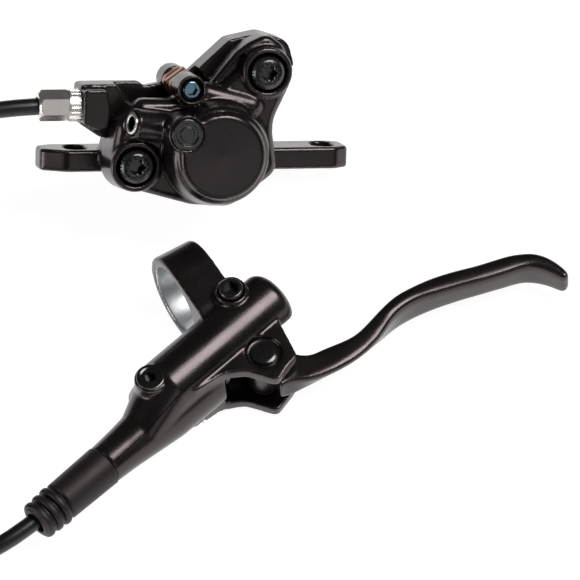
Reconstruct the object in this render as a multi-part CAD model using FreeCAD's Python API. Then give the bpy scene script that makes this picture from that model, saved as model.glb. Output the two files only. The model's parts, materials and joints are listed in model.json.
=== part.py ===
import FreeCAD, Part
import math
import os

# Hydraulic disc brake for a bicycle: lever unit, hose and two-piston caliper, in millimetres.
# The lever unit is drawn about its pivot axis (+Z), with the handlebar along X and above it in Y.
# The caliper is drawn about its piston axis (+Z, outboard), with the mount bolts along Y.
# Both units are then laid on the floor, Z = 0, as they come to rest.

V = FreeCAD.Vector
Z_AXIS = V(0, 0, 1)

# Fits shared by every piece
RUNNING = 0.05
CLEAR = 0.3
SEAL_LIP = 0.02

# Handlebar clamp
BAR_RADIUS = 11.1
BAND_WALL = 2.9
BAND_WIDTH = 12.4
BAR_Y = 33.7
BAR_Z = -3.0
BAR_CLEAR = 0.7
BAR_CUT_REACH = 40.0
BAND_X = -3.5
SLIT_WIDTH = 2.0
SLIT_TOP = -6.5
CLAMP_BOLT_X = 0.9
CLAMP_BOLT_Y = 19.9
CLAMP_BOLT_RADIUS = 2.4
CLAMP_HEAD_RADIUS = 3.5
CLAMP_HEAD_HEIGHT = 3.9
CLAMP_HEAD_SEAT = 11.6
CLAMP_TAB_BOTTOM = -13.2
CLAMP_BOSS_RADIUS = 4.4

# Master cylinder line: its turn from the handlebar, its distance from the pivot and its height
CYLINDER_TURN = 13.6
CYLINDER_OFFSET = 9.54
CYLINDER_Z = -1.0
HOUSING_RADIUS = 8.2
JOINT_RADIUS = 6.0
JOINT_S = -54.5
HOUSING_FULL_S = -30.0
BORE_RADIUS = 5.0
BORE_MOUTH_S = -8.0
BORE_END_S = -46.0

# Reservoir barrel beside the cylinder
BARREL_RADIUS = 9.0
BARREL_ASIDE = 3.4
BARREL_RISE = 5.5
BARREL_LEFT_S = -27.0
BARREL_RIGHT_S = 17.0
BARREL_EDGE = 3.4
NECK_S = -41.0
TANK_LEFT_S = -25.0
TANK_RIGHT_S = -12.0
TANK_WALL = 1.8
LID_THICKNESS = 1.6
LID_SCREW_RADIUS = 1.25
LID_SCREW_HEAD = 2.2
LID_SCREW_LENGTH = 4.4

# Lever bleed screw
BLEED_S = -30.4
BLEED_ASIDE = 5.6
BLEED_TOP = 12.5
BLEED_RADIUS = 3.5
BLEED_BOSS_RADIUS = 4.7
BLEED_DEPTH = 6.0

# Pivot ears
EAR_TOP = 9.0
EAR_GAP_TOP = 5.4
EAR_GAP_BOTTOM = -8.2
EAR_BOTTOM = -11.6
PIN_RADIUS = 2.75
PIN_HEAD_FLATS = 7.0
PIN_HEAD_HEIGHT = 1.4
PIN_RECESS_RADIUS = 5.3
PIN_RECESS_DEPTH = 1.2
BUSH_WALL = 0.8
BUSH_FLANGE = 0.8
HUB_RADIUS = 4.6

# Blade: stations along its middle line as x, y, thickness in plan, height below its flat top,
# and how far its front leans back towards the bottom
BLADE_TOP = 3.4
BLADE_STATIONS = [
    (0.5, -5.0, 9.0, 6.6, 0.0),
    (9.1, -7.2, 9.0, 6.8, 1.4),
    (15.2, -8.9, 9.0, 7.0, 3.6),
    (22.3, -9.2, 8.7, 7.0, 4.3),
    (27.9, -8.5, 7.4, 7.4, 3.6),
    (33.2, -6.5, 6.4, 8.8, 2.2),
    (39.6, -3.5, 5.1, 10.4, 0.4),
    (44.9, -2.2, 5.1, 11.2, 0.0),
    (50.0, -2.2, 5.3, 11.2, 0.0),
    (54.6, -2.8, 5.9, 10.4, 0.0),
    (61.6, -4.2, 6.1, 9.8, 0.0),
    (68.3, -5.9, 6.1, 9.4, 0.0),
    (75.2, -7.3, 6.1, 9.6, 0.0),
    (80.8, -8.6, 5.6, 10.2, 0.0),
    (84.8, -10.7, 5.0, 11.0, 0.0),
    (87.2, -14.0, 4.6, 10.4, 0.0),
    (88.7, -17.3, 3.8, 9.8, 0.0),
    (89.4, -19.4, 3.0, 9.4, 0.0),
    (89.7, -20.3, 1.9, 8.4, 0.0),
]
BLADE_ROUND = 1.2
BLADE_ROUND_SHARE = 0.34
NOSE_RADIUS = 2.6
NOSE_BACK_TURN = 10.0
ARM_TOP = 3.6
ARM_BOTTOM = -5.0
REACH_SCREW_RADIUS = 1.5
REACH_SCREW_REACH = 3.4

# Master piston train, measured along the cylinder line
ROD_RADIUS = 1.9
PISTON_HEAD_S = -10.5
PISTON_LENGTH = 16.0
PISTON_WAIST_RADIUS = 3.4
SEAL_WIDTH = 2.0
SPRING_WIRE = 0.7
SPRING_TURNS = 7
STOP_RING_WIDTH = 1.0

# Hose and its joints
HOSE_RADIUS = 2.5
OLIVE_WALL = 0.9
OLIVE_LENGTH = 4.0
BOOT_SLEEVE_LENGTH = 16.7
BOOT_BORE_WIDE_S = -74.6
BOOT_RIB_PITCH = 3.1
BOOT_RIBS = 3
NUT_FLATS = 8.0
LEVER_NUT_LENGTH = 10.0

# Caliper body
ROTOR_GAP = 4.6
ROTOR_CLEAR_RADIUS = 81.6
ROTOR_REACH = 11.38604
ROTOR_DIRECTION = (41.0, -57.0)
FACE_W = 10.5
RIM_W = 8.6
RIM_GROOVE_W = 6.2
EDGE_CHAMFER = 1.6
RIM_CHAMFER = 1.0
BEAD_RADIUS = 3.5
BEAD_ENDS = (-4.0, 17.0), (11.0, 13.0)
BEAD_W = 8.6
DOME_RADIUS = 15.6
DOME_FOOT_W = 9.0
DOME_TOP_W = 19.6
CAP_RADIUS = 12.6
CAP_TOP_W = 21.5
PISTON_RADIUS = 10.15
PISTON_WALL = 2.4
PISTON_FRONT_W = 4.95
PISTON_BACK_W = 14.0
BORE_END_CLEAR = 0.8
SEAL_GROOVE_DEPTH = 1.8
SEAL_W = 9.0
PLATE_THICKNESS = 1.8
LINING_THICKNESS = 2.0
PAD_TRAVEL = 1.0
PAD_HALF_WIDTH = 10.8
PAD_POCKET_W = 5.2
POCKET_TOP = 45.0
BODY_BOLT_RADIUS = 3.0
BODY_HEAD_RADIUS = 4.8
BODY_HEAD_HEIGHT = 5.6
BODY_SEAT_W = 7.0
BODY_BOSS_RADIUS = 7.4
BODY_BOLT_END_W = -9.0
LOWER_BOLT = (-23.4, -4.0)
UPPER_BOLT = (15.1, 22.9)
AXLE = (-8.0, 18.5)
AXLE_RADIUS = 1.5
AXLE_BOSS_RADIUS = 4.3
AXLE_BOSS_W = 14.4
AXLE_RECESS = 0.9
AXLE_HEAD_RADIUS = 2.6
AXLE_SEAT_W = 11.5
AXLE_HEAD_W = 13.8
PLUG = (-11.0, 6.8)
PLUG_RADIUS = 4.6
PLUG_TOP_W = 22.0
PLUG_DEPTH = 1.8
CALIPER_BLEED_FACE = (-25.2, 8.9, 13.0)
CALIPER_BLEED_RADIUS = 3.4
CALIPER_BLEED_BOSS = 4.5
CALIPER_BLEED_DROP = 3.6

# Caliper mount ears: two slots 74 mm apart
MOUNT_SPACING = 74.0
MOUNT_MIDDLE = 0.85
SLOT_RADIUS = 3.2
SLOT_LENGTH = 9.6
EAR_LONG = 10.8
EAR_LONG_BEVEL = 7.0
EAR_SHORT = 6.8
EAR_SHORT_BEVEL = 4.0
EAR_TOP_V = -1.6
EAR_BOTTOM_V = -8.0
EAR_FRONT_W = -5.0
EAR_BACK_W = -19.0

# Hose port block on the inner half
PORT_V = 12.2
PORT_W = -2.0
PORT_LEFT_U = -37.6
NUT_END_U = -50.0
NUT_HEX_END_U = -41.0
COLLAR_RADIUS = 4.7
PORT_BACK_W = -9.0
PORT_STEP_W = -3.0
PORT_FRONT_W = 4.6

# Outlines of the caliper's plates as u, v and corner radius; the port's are measured from its left end
OUTER_LOWER_EDGE = [
    (-13.3, 15.2, 3),
    (-22.3, 15.4, 3),
    (-28.8, 8.4, 2),
    (-31.0, -5.0, 3),
    (-24.9, -10.6, 5),
    (-6.4, -15.6, 8),
    (5.6, -16.4, 8),
    (19.2, -6.0, 5),
    (17.2, 8.0, 12),
    (22.8, 20.0, 6),
]
OUTER_RIM_TOP = [
    (21.0, 30.0, 5),
    (15.6, 33.8, 4),
    (10.2, 31.3, 2),
    (6.5, 28.7, 3),
    (2.8, 24.4, 5),
    (-1.5, 19.0, 1),
    (-4.6, 18.6, 1),
]
OUTER_FACE_TOP = [
    (21.2, 28.2, 4),
    (14.6, 30.4, 4),
    (9.9, 26.0, 2),
    (5.2, 21.7, 5),
    (-0.2, 17.7, 1),
    (-4.6, 18.0, 1),
]
RIM_GROOVE = [
    (-0.6, 18.2, 0.4),
    (3.9, 23.5, 4),
    (7.4, 27.6, 3),
    (11.5, 29.8, 1),
    (13.6, 29.0, 0.5),
    (9.9, 26.0, 1),
    (5.2, 21.7, 3),
    (0.2, 17.6, 0.3),
]
INNER_EDGE = [
    (-31.0, -5.0, 3),
    (-24.9, -9.6, 5),
    (-6.4, -14.6, 8),
    (5.6, -15.4, 8),
    (19.6, -6.0, 5),
    (19.0, 8.0, 12),
    (26.6, 21.0, 5),
    (24.0, 30.6, 5),
    (16.0, 33.0, 4),
    (6.4, 31.0, 3),
    (-4.6, 21.0, 3),
    (-12.0, 18.0, 3),
    (-26.0, 15.4, 3),
]
PORT_EDGE = [
    (0.0, 7.0, 1.0),
    (6.0, 3.0, 2.0),
    (15.6, 2.0, 1.0),
    (23.6, 14.0, 1.0),
    (18.6, 18.4, 1.0),
    (0.0, 18.4, 1.2),
]
PORT_FRONT_EDGE = [
    (0.0, 7.4, 1.0),
    (5.0, 5.4, 1.0),
    (7.4, 6.4, 1.0),
    (8.0, 11.0, 1.0),
    (7.0, 17.4, 1.0),
    (0.0, 17.4, 1.2),
]
CUT_TOP_W = 30.0
TRANSFER_PLACE = (-27.2, 4.6)
TRANSFER_RING_RADIUS = 1.5
TRANSFER_RING_SECTION = 0.6

# Resting places: turn, lean and place of each unit on the floor
LEVER_YAW = 25.81
LEVER_PLACE = (-9.79, -36.80)
CALIPER_YAW = 5.08
CALIPER_PITCH = 14.84
CALIPER_ROLL = 48.70
CALIPER_PLACE_X = -19.72
CALIPER_IMAGE_Y = 55.60
VIEW_SLOPE = 0.76818

# Route of the hose on the floor, and the coil of its put-away length
LEVER_ROUTE_FIRST_S = -84.0
LEVER_ROUTE = [
    (-97.4, -89.6, 8.0),
    (-114.7, -92.6, 5.2),
    (-131.8, -86.2, 3.2),
    (-145.7, -70.2, 2.55),
]
CALIPER_ROUTE_FIRST_U = -60.0
CALIPER_ROUTE = [
    (-96.0, 37.2, 47.5),
    (-112.9, 31.0, 39.0),
    (-125.0, 22.8, 27.5),
    (-135.0, 11.8, 16.5),
    (-143.3, -3.0, 10.0),
    (-149.6, -20.0, 7.8),
    (-153.3, -41.2, 7.6),
]
RUN_SHARE = 0.45
COIL_PLACE = (-124.5, -49.0)
COIL_MIDDLE_RADIUS = 27.5
COIL_COLUMNS = 2
COIL_LAYERS = 2


def corner_arc(back, here, ahead, radius):
    """Start, middle and end of the arc that rounds one corner."""
    to_back = (back - here).normalize()
    to_ahead = (ahead - here).normalize()
    half = to_back.getAngle(to_ahead) / 2
    reach = radius / math.tan(half)
    middle = here + (to_back + to_ahead).normalize() * (radius / math.sin(half) - radius)
    return here + to_back * reach, middle, here + to_ahead * reach


def rounded_path(points, radii, closed):
    """Edges of straight runs through the points, joined by tangent arcs of the given radii."""
    count = len(points)
    runs = []
    for i, (here, radius) in enumerate(zip(points, radii)):
        is_end = not closed and i in (0, count - 1)
        if is_end or radius == 0:
            runs.append((here, None, here))
        else:
            runs.append(corner_arc(points[i - 1], here, points[(i + 1) % count], radius))
    edges = []
    for i, (start, middle, end) in enumerate(runs):
        if middle is not None:
            edges.append(Part.Arc(start, middle, end).toShape())
        if i == count - 1 and not closed:
            break
        follow = runs[(i + 1) % count][0]
        if end.distanceToPoint(follow) > 1e-6:
            edges.append(Part.LineSegment(end, follow).toShape())
    return edges


def outline(corners, height=0):
    """Closed wire at one height through corners (x, y, radius)."""
    points = [V(x, y, height) for x, y, radius in corners]
    return Part.Wire(rounded_path(points, [corner[2] for corner in corners], True))


def prism(corners, low, high):
    """Straight body with the given outline between two heights."""
    return Part.Face(outline(corners, low)).extrude(V(0, 0, high - low))


def turned(profile):
    """Body turned about Z from a profile of (radius, height, corner radius)."""
    face = Part.Face(outline(profile))
    face.rotate(V(0, 0, 0), V(1, 0, 0), 90)
    return face.revolve(V(0, 0, 0), Z_AXIS, 360)


def rod(radius, low, high):
    """Plain round bar along Z."""
    return Part.makeCylinder(radius, high - low, V(0, 0, low))


def ring(inner, outer, low, high):
    """Plain round ring along Z."""
    return rod(outer, low, high).cut(rod(inner, low - 1, high + 1))


def bar(radius, start, end):
    """Round bar between two points."""
    return Part.makeCylinder(radius, start.distanceToPoint(end), start, end - start)


def hexagon(flats, low, high, turn=0):
    """Six-sided bar along Z, given across its flats."""
    reach = flats / math.sqrt(3)
    corners = []
    for i in range(6):
        angle = math.radians(60 * i + turn)
        corners.append((reach * math.cos(angle), reach * math.sin(angle), 0))
    return prism(corners, low, high)


def star(reach, low, high):
    """Six-lobed socket for a star key."""
    corners = []
    for i in range(12):
        angle = math.radians(30 * i)
        lobe = reach if i % 2 == 0 else 0.74 * reach
        corners.append((lobe * math.cos(angle), lobe * math.sin(angle), 0.13 * reach))
    return prism(corners, low, high)


def moved(shape, base, axis=Z_AXIS):
    """Copy of a shape that was drawn along Z, put at base and turned to axis."""
    copy = shape.copy()
    copy.Placement = FreeCAD.Placement(base, FreeCAD.Rotation(Z_AXIS, axis)).multiply(copy.Placement)
    return copy


def fused(first, *rest):
    """One solid from overlapping forms."""
    return first.multiFuse(list(rest)).removeSplitter()


def cut_by(shape, *tools):
    """Shape less each tool."""
    for tool in tools:
        shape = shape.cut(tool)
    return shape


def spring(radius, wire, low, high, turns):
    """Compression spring along Z, its wire drawn with flats between close sections."""
    steps = 12 * turns
    rise = (high - low - wire) / steps
    sections = []
    for i in range(steps + 1):
        angle = 2 * math.pi * i / 12
        outward = V(math.cos(angle), math.sin(angle), 0)
        centre = outward * radius + V(0, 0, low + wire / 2 + i * rise)
        corners = []
        for k in range(6):
            lean = math.pi * k / 3
            radial = outward * (wire / 2 * math.cos(lean))
            corners.append(centre + radial + Z_AXIS * (wire / 2 * math.sin(lean)))
        sections.append(Part.makePolygon(corners + corners[:1]))
    return Part.makeLoft(sections, True, True)


def cylinder_frame():
    """Placement of the master cylinder line: X along it towards the blade, Y towards the bar."""
    turn = FreeCAD.Rotation(Z_AXIS, CYLINDER_TURN)
    return FreeCAD.Placement(turn.multVec(V(0, CYLINDER_OFFSET, 0)) + V(0, 0, CYLINDER_Z), turn)


def on_cylinder(shape):
    """Shape drawn in the cylinder frame, put in the lever frame."""
    copy = shape.copy()
    copy.Placement = cylinder_frame().multiply(copy.Placement)
    return copy


def along_cylinder(shape):
    """Shape turned about Z, laid on the cylinder line with its Z along the line."""
    return on_cylinder(moved(shape, V(0, 0, 0), V(1, 0, 0)))


def housing():
    """Outside of the master cylinder, tapering to the hose joint."""
    profile = [
        (0, JOINT_S, 0),
        (JOINT_RADIUS, JOINT_S, 0.4),
        (JOINT_RADIUS + 0.5, JOINT_S + 8, 20),
        (HOUSING_RADIUS, HOUSING_FULL_S, 20),
        (HOUSING_RADIUS, BORE_MOUTH_S, 1.5),
        (0, BORE_MOUTH_S, 0),
    ]
    return along_cylinder(turned(profile))


def barrel():
    """Reservoir barrel with a domed end and a shoulder that runs down to the neck."""
    centre = V(0, BARREL_ASIDE, BARREL_RISE)
    profile = [
        (0, BARREL_LEFT_S, 0),
        (BARREL_RADIUS, BARREL_LEFT_S, 0),
        (BARREL_RADIUS, BARREL_RIGHT_S, BARREL_EDGE),
        (0, BARREL_RIGHT_S + 1.0, 0),
    ]
    tube = moved(turned(profile), centre, V(1, 0, 0))
    wide = Part.Wire(Part.makeCircle(BARREL_RADIUS, centre + V(BARREL_LEFT_S, 0, 0), V(1, 0, 0)))
    narrow = Part.Wire(Part.makeCircle(HOUSING_RADIUS - 1.2, V(NECK_S, 0, 0), V(1, 0, 0)))
    shoulder = Part.makeLoft([narrow, wide], True, True)
    return on_cylinder(tube.fuse(shoulder))


def tank_outline(inset):
    """Plan of the reservoir floor under the barrel."""
    left, right = TANK_LEFT_S + inset, TANK_RIGHT_S - inset
    near, far = -5.0 + inset, BARREL_ASIDE + BARREL_RADIUS - 2.2 - inset
    corner = 3.0 - 0.6 * inset
    return [(left, near, corner), (right, near, corner), (right, far, corner), (left, far, corner)]


def tank_bottom():
    """Height of the reservoir floor face in the cylinder frame."""
    return -HOUSING_RADIUS - 0.4


def ear_outline():
    """Plan of the pivot ears in the lever frame."""
    return [
        (6.0, 13.0, 0),
        (9.3, 9.0, 1.0),
        (9.0, 6.0, 2.0),
        (7.7, -5.6, 1.6),
        (-1.4, -10.0, 2.0),
        (-7.6, -2.6, 7.0),
        (-14.0, 0.0, 8.0),
        (-24.0, -1.2, 0.5),
        (-22.0, 6.0, 0.5),
    ]


def cam_pocket():
    """Room between the ears for the blade root and its arm."""
    left = BORE_MOUTH_S
    corners = [
        (left, 4.4, 1.5),
        (left, -3.0, 2.0),
        (left - 5.2, -7.0, 2.5),
        (left - 5.2, -26.0, 0),
        (26.0, -26.0, 0),
        (26.0, 4.4, 0),
    ]
    return on_cylinder(prism(corners, EAR_GAP_BOTTOM - CYLINDER_Z, EAR_GAP_TOP - CYLINDER_Z))


def clamp_side(corners, left, right):
    """Body with a side outline of (y, z, radius) between two places along the bar."""
    body = prism(corners, left, right)
    turn = FreeCAD.Rotation(V(0, 1, 0), V(0, 0, 1), V(1, 0, 0), "ZXY")
    body.Placement = FreeCAD.Placement(V(0, 0, 0), turn)
    return body


def band():
    """Bar clamp: ring, bridge to the barrel, bolt boss and the tab below the slit."""
    left, right = BAND_X - BAND_WIDTH / 2, BAND_X + BAND_WIDTH / 2
    outer = BAR_RADIUS + BAND_WALL
    hoop = moved(turned([
        (BAR_RADIUS - 3, left, 0),
        (outer, left, 0.8),
        (outer, right, 0.8),
        (BAR_RADIUS - 3, right, 0),
    ]), V(0, BAR_Y, BAR_Z), V(1, 0, 0))
    bridge_edge = [(12, SLIT_TOP, 0), (12, 9.2, 0), (19, 9.2, 6), (27, 6.6, 3), (27, SLIT_TOP, 0)]
    bridge = clamp_side(bridge_edge, left, right)
    slit_bottom = SLIT_TOP - SLIT_WIDTH
    tab = clamp_side([
        (CLAMP_BOLT_Y - CLAMP_BOSS_RADIUS, slit_bottom, 0),
        (CLAMP_BOLT_Y - CLAMP_BOSS_RADIUS, CLAMP_TAB_BOTTOM, 1.2),
        (26.0, CLAMP_TAB_BOTTOM - 1.2, 2),
        (28.0, slit_bottom, 0),
    ], left, right)
    place = V(CLAMP_BOLT_X, CLAMP_BOLT_Y, 0)
    boss = moved(turned([
        (0, SLIT_TOP, 0),
        (CLAMP_BOSS_RADIUS, SLIT_TOP, 0),
        (CLAMP_BOSS_RADIUS, CLAMP_HEAD_SEAT, 0.5),
        (0, CLAMP_HEAD_SEAT, 0),
    ]), place)
    foot = moved(rod(CLAMP_BOSS_RADIUS, CLAMP_TAB_BOTTOM, slit_bottom), place)
    return fused(hoop, bridge, tab, boss, foot)


def bar_place(along):
    """Point on the handlebar's axis, measured along it from the middle of the band."""
    return V(BAND_X + along, BAR_Y, BAR_Z)


def lever_body():
    """Lever casting with its bores, ears, clamp and reservoir."""
    tank = on_cylinder(prism(tank_outline(0), tank_bottom(), 4.0))
    back = on_cylinder(prism([
        (-14, 2.0, 0), (13.5, 2.0, 2), (13.5, 9.6, 3), (-14, 9.6, 0),
    ], EAR_BOTTOM - CYLINDER_Z, 6.0))
    upper = prism(ear_outline(), EAR_GAP_TOP - 2, EAR_TOP)
    lower = prism(ear_outline(), EAR_BOTTOM, EAR_GAP_BOTTOM + 2)
    bleed_place = V(BLEED_S, BLEED_ASIDE, -CYLINDER_Z)
    bleed_boss = on_cylinder(moved(turned([
        (0, 0, 0),
        (BLEED_BOSS_RADIUS + 2.0, 0, 0),
        (BLEED_BOSS_RADIUS, 6.0, 5),
        (BLEED_BOSS_RADIUS, BLEED_TOP, 0.6),
        (0, BLEED_TOP, 0),
    ]), bleed_place))
    posts, screw_holes = screw_bosses()
    body = fused(housing(), barrel(), tank, back, upper, lower, bleed_boss, band(), *posts)
    slit_start = CLAMP_BOLT_Y - CLAMP_BOSS_RADIUS - 1.0
    slit_end = BAR_Y - math.sqrt(BAR_RADIUS ** 2 - (SLIT_TOP - BAR_Z) ** 2) + 2
    slit = Part.makeBox(BAND_WIDTH + 12, slit_end - slit_start, SLIT_WIDTH)
    slit.translate(V(BAND_X - BAND_WIDTH / 2 - 3, slit_start, SLIT_TOP - SLIT_WIDTH))
    bolt_place = V(CLAMP_BOLT_X, CLAMP_BOLT_Y, 0)
    tank_hole = on_cylinder(prism(tank_outline(TANK_WALL), tank_bottom() - 1, tank_bottom() + 2.2))
    return cut_by(
        body,
        cam_pocket(),
        bar(BAR_RADIUS, bar_place(-BAR_CUT_REACH / 2), bar_place(BAR_CUT_REACH / 2)),
        bar(BAR_RADIUS + BAR_CLEAR, bar_place(BAND_WIDTH / 2), bar_place(BAR_CUT_REACH)),
        bar(BAR_RADIUS + BAR_CLEAR, bar_place(-BAND_WIDTH / 2), bar_place(-BAR_CUT_REACH)),
        slit,
        moved(rod(CLAMP_BOLT_RADIUS + RUNNING, CLAMP_TAB_BOTTOM - 2, CLAMP_HEAD_SEAT + 1), bolt_place),
        moved(rod(CLAMP_HEAD_RADIUS + CLEAR, CLAMP_HEAD_SEAT, CLAMP_HEAD_SEAT + 10), bolt_place),
        along_cylinder(rod(BORE_RADIUS, BORE_END_S, BORE_MOUTH_S + 1)),
        along_cylinder(rod(HOSE_RADIUS + OLIVE_WALL + RUNNING, JOINT_S - 1, JOINT_S + 5)),
        rod(PIN_RADIUS + RUNNING, EAR_BOTTOM - 1, EAR_TOP + 1),
        rod(PIN_RECESS_RADIUS, EAR_TOP - PIN_RECESS_DEPTH, EAR_TOP + 1),
        rod(PIN_RECESS_RADIUS - 0.8, EAR_BOTTOM - 1, EAR_BOTTOM + 0.9),
        on_cylinder(moved(rod(BLEED_RADIUS + RUNNING, BLEED_TOP - BLEED_DEPTH, BLEED_TOP + 1), bleed_place)),
        tank_hole,
        *screw_holes,
        *lid_room(),
    )


def blade_section(here, along, station):
    """Blade section across the middle line: upright back, leaning front, rounded corners."""
    width, height, lean = station[2:]
    small = min(BLADE_ROUND, BLADE_ROUND_SHARE * width)
    half = width / 2
    corners = [(lean - half, -height, small), (half, -height, small), (half, 0, small), (-half, 0, small)]
    wire = outline(corners)
    turn = FreeCAD.Rotation(Z_AXIS.cross(along), Z_AXIS, along, "XYZ")
    wire.Placement = FreeCAD.Placement(V(here.x, here.y, BLADE_TOP), turn)
    return wire


def blade():
    """Finger blade, its hub on the pivot and the cam arm with the reach screw's hole."""
    points = [V(station[0], station[1], 0) for station in BLADE_STATIONS]
    line = Part.BSplineCurve()
    line.interpolate(points)
    sections = []
    for point, station in zip(points, BLADE_STATIONS):
        along = V(*line.tangent(line.parameter(point))[0])
        sections.append(blade_section(point, along, station))
    finger = Part.makeLoft(sections, True, False)
    bush_radius = PIN_RADIUS + 2 * RUNNING + BUSH_WALL
    low = EAR_GAP_BOTTOM + CLEAR + BUSH_FLANGE
    high = EAR_GAP_TOP - CLEAR - BUSH_FLANGE
    hub = rod(HUB_RADIUS, low, high)
    nose = nose_place()
    aside = V(-nose.y, nose.x, 0).normalize()
    arm = prism([
        (-aside.x * 3.6, -aside.y * 3.6, 0),
        (aside.x * 3.6, aside.y * 3.6, 0),
        (nose.x + aside.x * NOSE_RADIUS, nose.y + aside.y * NOSE_RADIUS, 0),
        (nose.x - aside.x * NOSE_RADIUS, nose.y - aside.y * NOSE_RADIUS, 0),
    ], ARM_BOTTOM, ARM_TOP)
    tip = moved(rod(NOSE_RADIUS, ARM_BOTTOM, ARM_TOP), nose)
    body = fused(finger, hub, arm, tip)
    screw_hole = bar(REACH_SCREW_RADIUS + RUNNING, screw_line(-8), screw_line(8))
    return cut_by(body, rod(bush_radius + RUNNING, low - 1, high + 1), screw_hole)


def nose_place():
    """Centre of the cam nose at rest, at the height of the lever frame's origin."""
    turn = FreeCAD.Rotation(Z_AXIS, CYLINDER_TURN - NOSE_BACK_TURN)
    return turn.multVec(V(0, CYLINDER_OFFSET / math.cos(math.radians(NOSE_BACK_TURN)), 0))


def screw_line(reach):
    """Point on the reach screw's axis, measured from the nose centre away from the piston."""
    along = FreeCAD.Rotation(Z_AXIS, CYLINDER_TURN).multVec(V(1, 0, 0))
    return nose_place() + V(0, 0, CYLINDER_Z) + along * reach


def nose_s():
    """Place of the cam nose along the cylinder line at rest."""
    return CYLINDER_OFFSET * math.tan(math.radians(NOSE_BACK_TURN))


def reach_screw():
    """Grub screw through the cam nose, with a domed end and a hex socket."""
    length = REACH_SCREW_REACH + 4.0
    body = turned([
        (0, 0, 0),
        (REACH_SCREW_RADIUS, 0, 1.0),
        (REACH_SCREW_RADIUS, length, 0.2),
        (0, length, 0),
    ])
    body = body.cut(hexagon(1.5, length - 2.0, length + 1))
    return moved(body, screw_line(-REACH_SCREW_REACH), screw_line(1) - screw_line(0))


def blade_bushes():
    """Two flanged bushes, one pressed into each end of the hub."""
    inner = PIN_RADIUS + RUNNING
    outer = PIN_RADIUS + 2 * RUNNING + BUSH_WALL
    length = (EAR_GAP_TOP - EAR_GAP_BOTTOM - 2 * CLEAR) * 0.3
    bush = ring(inner, outer, 0, length).fuse(ring(inner, HUB_RADIUS - 0.4, 0, BUSH_FLANGE))
    low = moved(bush, V(0, 0, EAR_GAP_BOTTOM + CLEAR))
    high = moved(bush, V(0, 0, EAR_GAP_TOP - CLEAR), V(0, 0, -1))
    return Part.makeCompound([low, high])


def pivot_pin():
    """Pivot pin with a chamfered six-sided head in the upper ear's recess."""
    seat = EAR_TOP - PIN_RECESS_DEPTH
    shank = rod(PIN_RADIUS, EAR_BOTTOM + 0.1, seat + 0.1)
    head = hexagon(PIN_HEAD_FLATS, seat, seat + PIN_HEAD_HEIGHT, 15)
    round_over = turned([
        (0, seat, 0),
        (PIN_HEAD_FLATS * 0.58, seat, 0),
        (PIN_HEAD_FLATS * 0.58, seat + PIN_HEAD_HEIGHT * 0.6, 0),
        (PIN_HEAD_FLATS * 0.46, seat + PIN_HEAD_HEIGHT, 0),
        (0, seat + PIN_HEAD_HEIGHT, 0),
    ])
    body = fused(shank, head.common(round_over))
    groove = ring(PIN_RADIUS - 0.5, PIN_RADIUS + 1, EAR_BOTTOM + 0.3, EAR_BOTTOM + 0.8)
    return body.cut(groove)


def pivot_clip():
    """Open spring clip in the groove at the pin's lower end."""
    body = ring(PIN_RADIUS - 0.45, PIN_RADIUS + 1.1, EAR_BOTTOM + 0.33, EAR_BOTTOM + 0.77)
    return body.cut(Part.makeBox(6, 3.0, 4, V(0, -1.5, EAR_BOTTOM - 1)))


def push_rod():
    """Rod from the reach screw to the piston, with a cupped head."""
    tip = nose_s() - REACH_SCREW_REACH
    end = PISTON_HEAD_S - 3.0
    body = turned([
        (0, end, 0),
        (ROD_RADIUS, end, 0),
        (ROD_RADIUS, tip - 2.4, 0),
        (ROD_RADIUS + 1.0, tip - 1.6, 0),
        (ROD_RADIUS + 1.0, tip - CLEAR, 0),
        (0, tip - CLEAR, 0),
    ])
    return along_cylinder(body)


def master_piston():
    """Piston with a socket for the rod, a waist and two seal grooves."""
    outer = BORE_RADIUS - RUNNING
    back, front = PISTON_HEAD_S, PISTON_HEAD_S - PISTON_LENGTH
    body = turned([
        (0, front, 0),
        (outer - 1.6, front, 0),
        (outer - 1.6, front + SEAL_WIDTH + 0.2, 0),
        (outer, front + SEAL_WIDTH + 0.2, 0),
        (outer, front + SEAL_WIDTH + 1.6, 0),
        (PISTON_WAIST_RADIUS, front + SEAL_WIDTH + 1.8, 0),
        (PISTON_WAIST_RADIUS, back - 6.0, 0),
        (outer, back - 5.8, 0),
        (outer, back, 0),
        (0, back, 0),
    ])
    socket = rod(ROD_RADIUS + RUNNING, back - 3.0 - RUNNING, back + 1)
    groove = ring(outer - 1.6, outer + 1, back - 4.4, back - 4.4 + SEAL_WIDTH)
    return along_cylinder(cut_by(body, socket, groove))


def cup_seal(back):
    """Rubber cup seal whose closed side stands at back."""
    inner = BORE_RADIUS - RUNNING - 1.6 + SEAL_LIP
    body = turned([
        (inner, back - SEAL_WIDTH + 0.05, 0),
        (BORE_RADIUS - SEAL_LIP, back - SEAL_WIDTH + 0.05, 0),
        (BORE_RADIUS - SEAL_LIP, back - 1.2, 0.2),
        (BORE_RADIUS - 0.3, back - 0.05, 0.2),
        (inner, back - 0.05, 0),
    ])
    return along_cylinder(body)


def piston_ring():
    """Stop ring that keeps the piston in its bore."""
    start = PISTON_HEAD_S + 0.3
    body = ring(ROD_RADIUS + 1.4, BORE_RADIUS - SEAL_LIP, start, start + STOP_RING_WIDTH)
    return along_cylinder(body.cut(Part.makeBox(8, 2.4, 6, V(0, -1.2, PISTON_HEAD_S - 2))))


def master_spring():
    """Return spring between the piston and the end of the bore."""
    front = PISTON_HEAD_S - PISTON_LENGTH
    body = spring(BORE_RADIUS - 1.0 - SPRING_WIRE / 2, SPRING_WIRE, BORE_END_S + 0.1, front - 0.1, SPRING_TURNS)
    return along_cylinder(body)


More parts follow.
